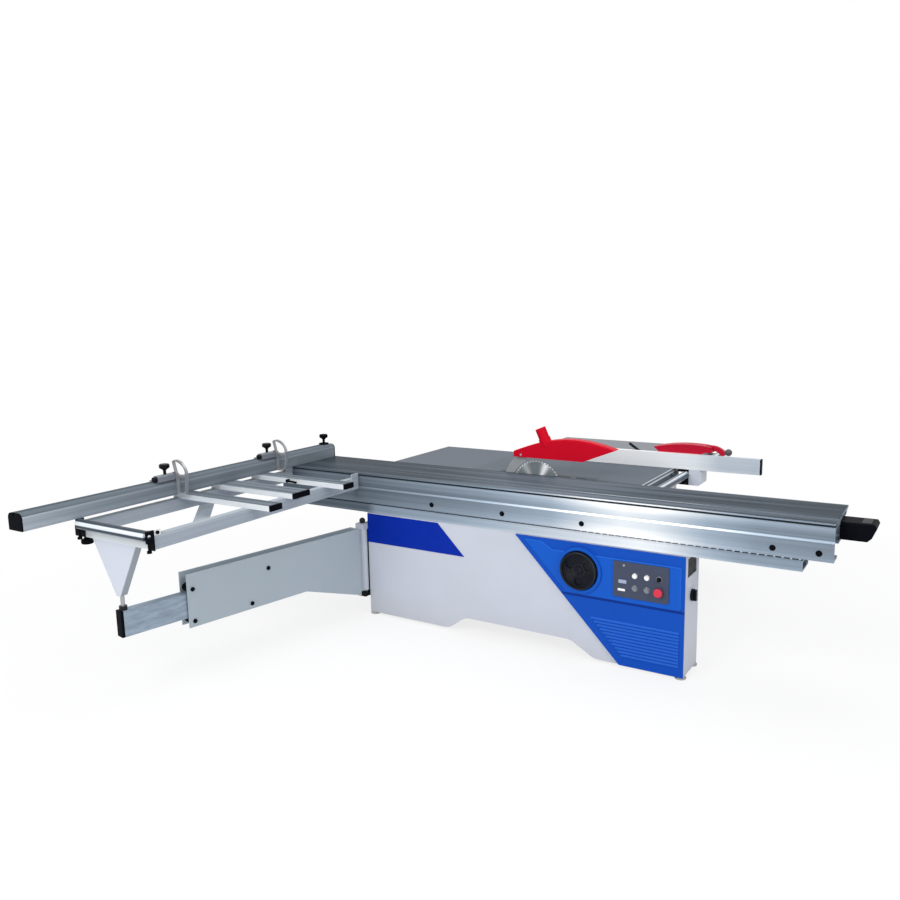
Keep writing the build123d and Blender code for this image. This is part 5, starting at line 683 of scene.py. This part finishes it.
PIN_PITCH = 0.036
PIN_RADIUS = 0.0056
PIN_TIP_RADIUS = 0.00336
PIN_LENGTH = 0.0125
PIN_CHAMFER = 0.0015
PIN_HEIGHT = 0.6875
PIN_FIRST = 0.34
PIN_LAST = 1.385
PIN_FRONT_MARGIN = 0.0006
PIN_STEPS = 14
PIN_LEVEL = 1.0
pin_back = beam_low.y + PIN_FRONT_MARGIN + PIN_LENGTH
pin_profile = (
    (0.0, 0.0), (PIN_RADIUS, 0.0), (PIN_RADIUS, PIN_LENGTH - PIN_CHAMFER), (PIN_TIP_RADIUS, PIN_LENGTH),
    (0.0, PIN_LENGTH),
)
pins = [
    turned_skin(pin_profile, (pin_x, pin_back, PIN_HEIGHT), PIN_STEPS)
    for pin_x in np.arange(PIN_FIRST, PIN_LAST, PIN_PITCH)
]
put_skins("edge_pins", pins, drawn_metal("pin_steel", Y_AXIS, PIN_LEVEL, swing=0.1), "base")

# Sliding carriage: one drawn and anodised aluminium section with a dark ribbed top and a slot
# under its lip, pressed plastic plugs in its front wall, and a moulded push grip with a soft
# pad bolted to its end.
carriage_low, carriage_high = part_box("carriage_profile")
working_plane = carriage_high.z
TOP_SKIN = 0.0016
SLOT_BOTTOM = 0.8506
SLOT_TOP = 0.8612
SLOT_DEPTH = 0.02
# The stops paint reflections: along the top, and on the front wall along its length, palest beside the
# operator's place, and in bands by height with a painted highlight on the ledge.
TOP_REFLECTION_STOPS = ((0.0, 0.0), (0.3, 0.03), (0.5, 0.1), (0.62, 0.1), (0.72, 0.04), (1.0, 0.0))
TOP_SWING = 0.3
TOP_STREAKS = 16.0
LENGTH_REFLECTION_STOPS = (
    (0.0, 0.08), (0.2, 0.1), (0.45, 0.25), (0.58, 0.42), (0.66, 0.82), (0.7, 0.98), (0.75, 0.88),
    (0.83, 0.46), (0.9, 0.29), (1.0, 0.25),
)
HEIGHT_REFLECTION_STOPS = (
    (0.0, 0.62), (0.12, 0.56), (0.3, 0.44), (0.47, 0.42), (0.485, 0.8), (0.53, 0.8), (0.545, 0.36),
    (0.7, 0.46), (0.8, 0.6), (0.89, 0.6), (0.95, 0.7), (1.0, 0.7),
)
HEIGHT_GAIN = 2.0
FRONT_SWING = 0.14
FRONT_STREAKS = 60.0


def carriage_finish():
    """Anodised section: painted reflections in bands by height on its front wall, palest beside the
    operator's place, a painted shade in the slot under the lip, and a dull dark top with painted reflection
    streaks."""
    material, shader, place = start_finish("carriage_aluminium", specular=0.012)
    depth = axis_value(place, Y_AXIS)
    height = axis_value(place, Z_AXIS)
    on_top = height > (working_plane - TOP_SKIN)
    slot_shade = (height > SLOT_BOTTOM) * (height < SLOT_TOP) * (depth < SLOT_DEPTH)
    by_length = level_along(place, X_AXIS, carriage_low.x, carriage_high.x, LENGTH_REFLECTION_STOPS)
    by_height = level_along(place, Z_AXIS, carriage_low.z, carriage_high.z, HEIGHT_REFLECTION_STOPS)
    front = by_length * (by_height * HEIGHT_GAIN) + FRONT_SWING * streaks(place, X_AXIS, FRONT_STREAKS)
    top_level = level_along(place, X_AXIS, carriage_low.x, carriage_high.x, TOP_REFLECTION_STOPS)
    top = top_level + TOP_SWING * streaks(place, X_AXIS, TOP_STREAKS)
    # The slot under the lip is painted at the darkest level and not metallic: a painted shade.
    level = (front * (1 - on_top) + top * on_top) * (1 - slot_shade)
    finish_silver(shader, place, X_AXIS, level)
    feed(shader, {"Metallic": SILVER_METAL * (1 - on_top) * (1 - slot_shade)})
    return material


BLACK = (0.0035, 0.004, 0.006)
black_plastic = moulded_plastic("black_plastic", BLACK, specular=0.01)
dress(carriage_finish(), "carriage_profile")
dress(black_plastic, "push_handle")

PLUG_PLACES = (-0.553, -0.104, 0.352, 1.271, 1.464)
PLUG_HEIGHT = 0.730
PLUG_RADIUS = 0.014
# The plug's outline: share of its radius, then height.
PLUG_FORM = ((0.0, 0.0), (1.0, 0.0), (1.0, 0.0015), (0.85, 0.0028), (0.45, 0.0033), (0.0, 0.0034))
PLUG_STEPS = 28
plug_profile = [(PLUG_RADIUS * share, rise) for share, rise in PLUG_FORM]
plugs = [
    turned_skin(plug_profile, (plug_x, carriage_low.y, PLUG_HEIGHT), PLUG_STEPS)
    for plug_x in PLUG_PLACES
]
put_skins("carriage_plugs", plugs, black_plastic, "carriage")

handle_low, handle_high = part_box("push_handle")
PAD_LEFT = 1.608
PAD_RIGHT = 1.648
PAD_EDGE = 0.022
PAD_HALF_THICK = 0.0012
PAD_CORNERS = 0.15
PAD_GREY = (0.05, 0.05, 0.055)
pad_middle = ((PAD_LEFT + PAD_RIGHT) / 2, (handle_low.y + handle_high.y) / 2, handle_high.z)
pad_half = ((PAD_RIGHT - PAD_LEFT) / 2, (handle_high.y - handle_low.y) / 2 - PAD_EDGE, PAD_HALF_THICK)
pad = rounded_block(pad_middle, pad_half, PAD_CORNERS)
pad_rubber = moulded_plastic("grip_pad", PAD_GREY, rough=0.6, grain=900.0, specular=0.05)
put_skins("grip_pad", [pad], pad_rubber, "carriage")

# Tables: the main table is a planed iron casting with a bright milled edge at its right end, painted
# with reflections in bands, and a steel insert beside the blade, the outfeed and side tables are
# folded sheet bolted to it.
IRON = (0.134, 0.159, 0.19)
IRON_DARK = (0.094, 0.112, 0.134)
INSERT_STEEL = (0.12, 0.135, 0.155)
INSERT_DARK = (0.06, 0.068, 0.078)
SHEET_GREY = (0.15, 0.168, 0.2)
SIDE_GREY = (0.27, 0.287, 0.31)
SILVER_NEUTRAL = (0.335, 0.385, 0.435)
TOOL_LINES = (3.0, 600.0, 600.0)
LINE_DETAIL = 3.0
LINE_SHARE = 0.7
LINE_SWAY = 0.1
LINE_BUMP = 0.1
LINE_DEPTH = 0.0003
PATCH_SCALE = 5.0
PATCH_DETAIL = 5.0
PATCH_SHARE = 0.9
PATCH_SWAY = 0.2
EDGE_DEPTH = 0.04
EDGE_SKIN = 0.001
EDGE_REFLECTION_STOPS = (
    (0.0, 0.1), (0.3, 0.1), (0.4, 0.8), (0.55, 0.8), (0.65, 0.1), (0.8, 0.15), (0.9, 0.9), (1.0, 0.9),
)


def planed_iron(name, colour, deep, rough=0.42, metal=0.0, specular=0.02, edged=None):
    """Planed casting: fine tool lines along x, a mottled tone and dull patches. A node that is edged
    also gets a bright milled edge at its right end, with painted reflections in bands by height."""
    material, shader, place = start_finish(name, specular, metal)
    line = noise(stretched(place, TOOL_LINES), 1.0, LINE_DETAIL)
    patch = noise(place, PATCH_SCALE, PATCH_DETAIL)
    mottle = line * LINE_SHARE + patch * PATCH_SHARE + HALFWAY * (1.0 - LINE_SHARE - PATCH_SHARE)
    tone = blend_colours(mottle, deep, colour)
    if edged:
        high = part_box(edged)[1]
        # The milled edge is bright metal with painted reflections in bands by height.
        milled = level_along(place, Z_AXIS, high.z - EDGE_DEPTH, high.z, EDGE_REFLECTION_STOPS)
        at_edge = axis_value(place, X_AXIS) > high.x - EDGE_SKIN
        tone = blend_colours(at_edge, tone, silver_tone(milled, SILVER_NEUTRAL))
    gloss = rough + PATCH_SWAY * (patch - HALFWAY)
    lay_finish(shader, tone, line, gloss, LINE_SWAY, LINE_BUMP, LINE_DEPTH)
    return material


dress(planed_iron("table_iron", IRON, IRON_DARK, edged="main_table"), "main_table")
dress(planed_iron("insert_steel", INSERT_STEEL, INSERT_DARK), "table_insert")
dress(powder_coat("outfeed_grey", SHEET_GREY, rough=0.48, specular=0.02), "rear_table")
dress(powder_coat("side_grey", SIDE_GREY, rough=0.48, specular=0.02), "side_table")

# Rip fence: a drawn aluminium fence on a red bracket casting that hangs on a plated round rail
# and is clamped by a curved lever with a grey end knob; the slider is cast and painted pale,
# black where it grips the rail and on its small lever.
CASTING_RED = (0.5, 0.008, 0.032)
KNOB_GREY = (0.1, 0.1, 0.105)
KNOB_LENGTH = 0.038
GRIP_RIGHT = 0.62
PAINT_GRAIN = 900.0


def two_coloured(name, parting, first, second):
    """Painted piece of one colour below an x and another beyond it, with a fine grain."""
    material, shader, place = start_finish(name, specular=0.1)
    tone = blend_colours(axis_value(place, X_AXIS) > parting, first, second)
    lay_finish(shader, tone, noise(place, PAINT_GRAIN), rough=0.38, sway=0.15, bump=0.12, depth=0.0003)
    return material


knob_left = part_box("rip_lever")[1].x - KNOB_LENGTH
dress(two_coloured("rip_slider", GRIP_RIGHT, BLACK, PALE_PAINT), "rip_slider")
dress(two_coloured("rip_lever", knob_left, CASTING_RED, KNOB_GREY), "rip_lever")
dress(powder_coat("casting_red", CASTING_RED, rough=0.37, shade=0.88, specular=0.08), "rip_casting")

RAIL_AXIS = 0.6
RAIL_RADIUS = 0.022
# The stops paint reflections across the plated rail, in bright and dark bands.
RAIL_REFLECTION_STOPS = ((0.0, 0.05), (0.3, 0.9), (0.42, 0.1), (0.6, 0.12), (0.72, 1.0), (0.85, 0.6), (0.93, 0.05))
CHROME_LOOK = {"swing": 0.06, "count": 90.0, "specular": 0.05, "metal": 0.2, "rough": 0.28}
rail_bands = (X_AXIS, RAIL_AXIS - RAIL_RADIUS, RAIL_AXIS + RAIL_RADIUS, RAIL_REFLECTION_STOPS)
dress(drawn_metal("rail_chrome", Y_AXIS, rail_bands, **CHROME_LOOK), "rip_rail")

rip_low, rip_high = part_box("rip_profile")
# Stops along the fence paint its reflections: nearly white at the table's end, greyer towards its free end.
RIP_REFLECTION_STOPS = ((0.0, 1.0), (0.5, 1.0), (0.68, 0.85), (0.8, 0.6), (1.0, 0.55))
RIP_LOOK = {"swing": 0.1, "count": 60.0, "specular": 0.1, "metal": 0.1}
rip_bands = (X_AXIS, rip_low.x, rip_high.x, RIP_REFLECTION_STOPS)
dress(drawn_metal("rip_aluminium", X_AXIS, rip_bands, **RIP_LOOK), "rip_profile")

RIP_CAP_HALF = 0.004
RIP_CAP_PROUD = 0.0005
RIP_CAP_CORNERS = 0.12
rip_middle = (rip_low + rip_high) / 2
rip_half = (rip_high - rip_low) / 2
cap_half = (RIP_CAP_HALF, rip_half.y + RIP_CAP_PROUD, rip_half.z + RIP_CAP_PROUD)
rip_caps = [
    rounded_block((end_x, rip_middle.y, rip_middle.z), cap_half, RIP_CAP_CORNERS)
    for end_x in (rip_low.x, rip_high.x)
]
put_skins("rip_end_caps", rip_caps, black_plastic, "rip")

# Saw unit: turned steel arbor and ground saw plates in a cast carrier, which lifts on two
# columns of a tilting cradle, with a belt from the finned motor.
CAST_GREY = (0.13, 0.135, 0.14)
CAST_DARK = (0.08, 0.082, 0.086)
STEEL = (0.42, 0.43, 0.45)
cast_iron = planed_iron("cast_iron", CAST_GREY, CAST_DARK, rough=0.55, metal=0.2, specular=0.3)
dress(cast_iron, "lift_carrier", "tilt_cradle", "tilt_saddles", "tilt_gearbox", "main_motor", "scoring_motor")
dress(bright_metal("steel", STEEL, rough=0.3), "saw_arbor", "motor_pulley")
dress(moulded_plastic("belt_rubber", BLACK, rough=0.65), "drive_belt")
BLADE_BRIGHT = (0.97, 0.97, 0.98)
BLADE_DULL = (0.19, 0.222, 0.235)
BLADE_ROUGH = 0.3
SHEEN_COUNT = 6
SHEEN_ANGLE = math.radians(65.0)
SHEEN_SHARPNESS = 4.0
TOOTH_DEPTH = 0.009
TOOTH_SHINE = 0.5
RING_RATE = 2600.0
RING_SWAY = 0.05
HAZE_SCALE = 60.0
HAZE_SWAY = 0.06


def hill(angle):
    """Cosine of the angle, lifted to run from 0 to 1."""
    return angle.node("ShaderNodeMath", {"operation": "COSINE"}, {0: angle}) * HALFWAY + HALFWAY


def ground_plate(name, node):
    """Saw plate ground on a turning table: rings about its centre, narrow painted highlights by angle, bright
    teeth.
    """
    low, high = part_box(node)
    material, shader, place = start_finish(name, specular=0.1, metal=0.1)
    turn, reach = polar(place, (low + high) / 2)
    # Painted highlights: narrow lobes by angle, brightest at the sheen angle, weaker the further they lie
    # from it.
    aside = turn - SHEEN_ANGLE
    lift = hill(aside * SHEEN_COUNT) * hill(aside)
    sheen = lift.node("ShaderNodeMath", {"operation": "POWER"}, {0: lift, 1: SHEEN_SHARPNESS})
    ring = reach.node("ShaderNodeMath", {"operation": "SINE"}, {0: reach * RING_RATE})
    teeth = reach > ((high.x - low.x) / 2 - TOOTH_DEPTH)
    feed(shader, {
        "Base Color": blend_colours(sheen + TOOTH_SHINE * teeth, BLADE_DULL, BLADE_BRIGHT),
        "Roughness": BLADE_ROUGH + RING_SWAY * ring + HAZE_SWAY * noise(place, HAZE_SCALE),
        "Normal": bumped(ring, strength=0.06, depth=0.0002),
    })
    return material


dress(ground_plate("blade_steel", "main_blade"), "main_blade")
dress(ground_plate("scoring_steel", "scoring_blade"), "scoring_blade")

# Blade guard: a riving knife of ground plate stands behind the blade and carries the hood, which
# is formed in one piece with its dust spout, painted glossy red, and pivots on a bolt.
KNIFE_STEEL = (0.46, 0.475, 0.49)
HOOD_RED = (0.62, 0.003, 0.02)
dress(bright_metal("knife_steel", KNIFE_STEEL, rough=0.3, metal=0.3), "riving_knife")
dress(powder_coat("hood_red", HOOD_RED, rough=0.37, shade=0.88, specular=0.05), "guard_hood")

# Outrigger: drawn aluminium beams and bars with plastic end caps, a folded painted leg and an
# idle roller in plastic brackets at the outer edge, with a pale guide block beside it.
END_BEAM_BACK = -1.425
NEAR_BEAM_LEFT = -1.11
END_BEAM_LEVEL = 0.74
FRAME_LEVEL = 0.48
FRAME_SWING = 0.14
# Stops along the bars paint their reflections, paler towards their right end.
BAR_REFLECTION_STOPS = ((0.0, 0.66), (0.4, 0.72), (1.0, 0.85))
SIDE_SWING = 0.12
DULL_TOP_STREAKS = 40.0


def outrigger_finish():
    """Drawn beams with painted reflection streaks along y; the end beam across them is paler and plain."""
    material, shader, place = start_finish("outrigger_aluminium", specular=0.0, metal=SILVER_METAL)
    at_end = (axis_value(place, Y_AXIS) < END_BEAM_BACK) * (axis_value(place, X_AXIS) < NEAR_BEAM_LEFT)
    beams = FRAME_LEVEL + FRAME_SWING * streaks(place, Y_AXIS, BAR_STREAKS)
    level = beams * (1 - at_end) + END_BEAM_LEVEL * at_end
    finish_silver(shader, place, Y_AXIS, level, middle=SILVER_NEUTRAL)
    return material


def dark_topped_metal(name, along, side_bands, top_start, top_level, top_swing):
    """Extruded bar with painted reflection bands and streaks on its sides; its top face, above a height, is
    dull and dark with painted reflection streaks of its own.
    """
    material, shader, place = start_finish(name, specular=0.0)
    on_top = axis_value(place, Z_AXIS) > top_start
    side = level_along(place, *side_bands) + SIDE_SWING * streaks(place, along, BAR_STREAKS)
    top = top_level + top_swing * streaks(place, along, DULL_TOP_STREAKS)
    level = side * (1 - on_top) + top * on_top
    finish_silver(shader, place, along, level, middle=SILVER_NEUTRAL)
    feed(shader, {"Metallic": SILVER_METAL * (1 - on_top)})
    return material


bar_low, bar_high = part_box("cross_bars")
bar_bands = (X_AXIS, bar_low.x, bar_high.x, BAR_REFLECTION_STOPS)
bar_top = working_plane - TOP_SKIN
bar_metal = dark_topped_metal("bar_aluminium", X_AXIS, bar_bands, bar_top, top_level=0.18, top_swing=0.3)
dress(outrigger_finish(), "outrigger_beams")
dress(bar_metal, "cross_bars")
dress(black_plastic, "bar_caps")

GUIDE_WHITE = (0.82, 0.82, 0.81)
FRAME_END = -1.4703
GUIDE_RIGHT = -1.0708
GUIDE_BOTTOM = 0.8395
BRACKET_GRAIN = 1200.0
LEG_PALE = (0.56, 0.595, 0.67)
LEG_FLANGE_SHADE = (0.3, 0.335, 0.37)
LEG_SHADE = 0.92
LEG_SHEET = 0.004
FOOT_PIN_TOP = 0.512
FOOT_BUSH_TOP = 0.4606
leg_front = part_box("outrigger_leg")[0].y


def bracket_finish():
    """Black moulded brackets and knobs; the guide block on the beam's end is white."""
    material, shader, place = start_finish("roller_bracket", specular=0.03)
    on_frame = axis_value(place, Y_AXIS) > FRAME_END
    above = axis_value(place, Z_AXIS) > GUIDE_BOTTOM
    beside = axis_value(place, X_AXIS) < GUIDE_RIGHT
    tone = blend_colours(on_frame * above * beside, BLACK, GUIDE_WHITE)
    lay_finish(shader, tone, noise(place, BRACKET_GRAIN), rough=0.4, sway=0.16, bump=0.2, depth=0.0003)
    return material


def leg_finish():
    """Pale paint on the folded leg with a painted shade on its side flange, bare steel on its foot pin and
    black rubber on the bush.
    """
    material, shader, place = start_finish("leg_paint", specular=0.3)
    peel = noise(place, PEEL_SCALE)
    cloud = noise(place, CLOUD_SCALE, CLOUD_DETAIL)
    height = axis_value(place, Z_AXIS)
    pin = height < FOOT_PIN_TOP
    bush = height < FOOT_BUSH_TOP
    flange = axis_value(place, Y_AXIS) > (leg_front + LEG_SHEET)
    paint = blend_colours(cloud, scaled(LEG_PALE, LEG_SHADE), LEG_PALE)
    # The side flange is painted darker: a painted shade.
    paint = blend_colours(flange, paint, LEG_FLANGE_SHADE)
    tone = blend_colours(bush, blend_colours(pin, paint, STEEL), BLACK)
    lay_finish(shader, tone, peel, rough=0.4, sway=0.1, bump=PEEL_BUMP, depth=PEEL_DEPTH)
    feed(shader, {"Metallic": pin - bush})
    return material


dress(bracket_finish(), "roller_brackets")
dress(leg_finish(), "outrigger_leg")

# Stops round the roller paint its reflections, in bright and dark bands by height.
ROLLER_REFLECTION_STOPS = (
    (0.0, 0.0), (0.08, 0.0), (0.14, 0.5), (0.2, 0.0), (0.46, 0.0), (0.54, 0.8), (0.8, 0.9), (0.86, 0.05),
    (0.96, 0.0), (1.0, 0.05),
)
roller_low, roller_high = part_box("end_roller")
roller_bands = (Z_AXIS, roller_low.z, roller_high.z, ROLLER_REFLECTION_STOPS)
dress(drawn_metal("roller_chrome", X_AXIS, roller_bands, **CHROME_LOOK), "end_roller")

# Crosscut fence: a drawn aluminium rail, rounded along its dark top, with plastic end caps, a
# clamp and two flip stops, each a cast saddle with a knob and a bright cast loop.
FENCE_ROUND_TOP = 0.016
# Stops along the fence paint its reflections, palest at its near end.
FENCE_REFLECTION_STOPS = ((0.0, 0.46), (0.15, 0.36), (0.35, 0.24), (0.6, 0.22), (1.0, 0.26))
LOOP_BRIGHT = (0.44, 0.45, 0.47)
SADDLE_GREY = (0.24, 0.262, 0.3)
SADDLE_METAL = 0.3
SADDLE_GRAIN = 300.0
SADDLE_DETAIL = 3.0
KNOB_STANDS = 0.056
SCREW_LENGTH = 0.018
fence_low, fence_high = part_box("crosscut_fence")
fence_bands = (Y_AXIS, fence_low.y, fence_high.y, FENCE_REFLECTION_STOPS)
fence_top = fence_high.z - FENCE_ROUND_TOP
fence_metal = dark_topped_metal(
    "fence_aluminium", Y_AXIS, fence_bands, fence_top, top_level=0.15, top_swing=0.12
)
dress(fence_metal, "crosscut_fence")
dress(black_plastic, "fence_end_caps", "fence_clamp")
loop_metal = bright_metal("stop_casting", LOOP_BRIGHT, rough=0.3, metal=0.5, shade=0.5)
dress(loop_metal, "stop_arm_1", "stop_arm_2")


def stop_saddle_finish(name, node):
    """Cast saddle in grey metal, with the black knob above its top and the black screw at its end."""
    low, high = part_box(node)
    material, shader, place = start_finish(name, specular=0.1)
    knob = axis_value(place, Z_AXIS) > (high.z - KNOB_STANDS + FACE_MARGIN)
    screw = axis_value(place, Y_AXIS) < (low.y + SCREW_LENGTH - FACE_MARGIN)
    black = knob + screw
    tone = blend_colours(black, SADDLE_GREY, BLACK)
    grain = noise(place, SADDLE_GRAIN, SADDLE_DETAIL)
    lay_finish(shader, tone, grain, rough=0.36, sway=0.12, bump=0.1, depth=0.0003)
    feed(shader, {"Metallic": SADDLE_METAL * (1 - black)})
    return material


for stop in ("stop_body_1", "stop_body_2"):
    dress(stop_saddle_finish(stop + "_finish", stop), stop)

# Swing arm: two painted steel plates on a hinge column at the cabinet's end, with guide rollers
# on bolts and a drawn tube that slides out under the outrigger's leg. A black cap tops the
# column, its upper bearing is pale, its lower bearing black, and the strip between them is
# painted black as a painted shade.
ARM_GREY = (0.4, 0.46, 0.51)
ARM_SHADE = 0.88
HINGE_TOP = 0.5603
HINGE_HALF = 0.03
COLUMN_REACH = 0.03
UPPER_BEARING = 0.5255
TUBE_LEVEL = 0.36
hinge_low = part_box("arm_hinge_blocks")[0]


def arm_finish():
    """Grey paint on the plates, paler on the hinge column, black on the cap over it."""
    material, shader, place = start_finish("arm_paint", specular=0.3)
    peel = noise(place, PEEL_SCALE)
    cloud = noise(place, CLOUD_SCALE, CLOUD_DETAIL)
    cap = axis_value(place, Z_AXIS) > HINGE_TOP
    beside = axis_value(place, X_AXIS) - (hinge_low.x + HINGE_HALF)
    behind = axis_value(place, Y_AXIS) - (hinge_low.y + HINGE_HALF)
    column = (beside * beside + behind * behind) < (COLUMN_REACH * COLUMN_REACH)
    paint = blend_colours(cloud, scaled(ARM_GREY, ARM_SHADE), ARM_GREY)
    tone = blend_colours(cap, blend_colours(column, paint, PALE_PAINT), BLACK)
    lay_finish(shader, tone, peel, rough=0.42, sway=0.1, bump=PEEL_BUMP, depth=PEEL_DEPTH)
    return material


def hinge_finish():
    """Pale upper bearing over a strip painted black as a painted shade, and a black lower bearing."""
    material, shader, place = start_finish("hinge_paint", specular=0.1)
    peel = noise(place, PEEL_SCALE)
    # Below the upper bearing all is black: the lower bearing's own colour and a painted shade on the strip.
    tone = blend_colours(axis_value(place, Z_AXIS) > UPPER_BEARING, BLACK, PALE_PAINT)
    lay_finish(shader, tone, peel, rough=0.42, sway=0.12, bump=PEEL_BUMP, depth=PEEL_DEPTH)
    return material


dress(arm_finish(), "swing_arm")
dress(hinge_finish(), "arm_hinge_blocks")
dress(black_plastic, "arm_rollers", "tube_end_cap")
dress(drawn_metal("tube_aluminium", Y_AXIS, TUBE_LEVEL, swing=0.22), "arm_tube")
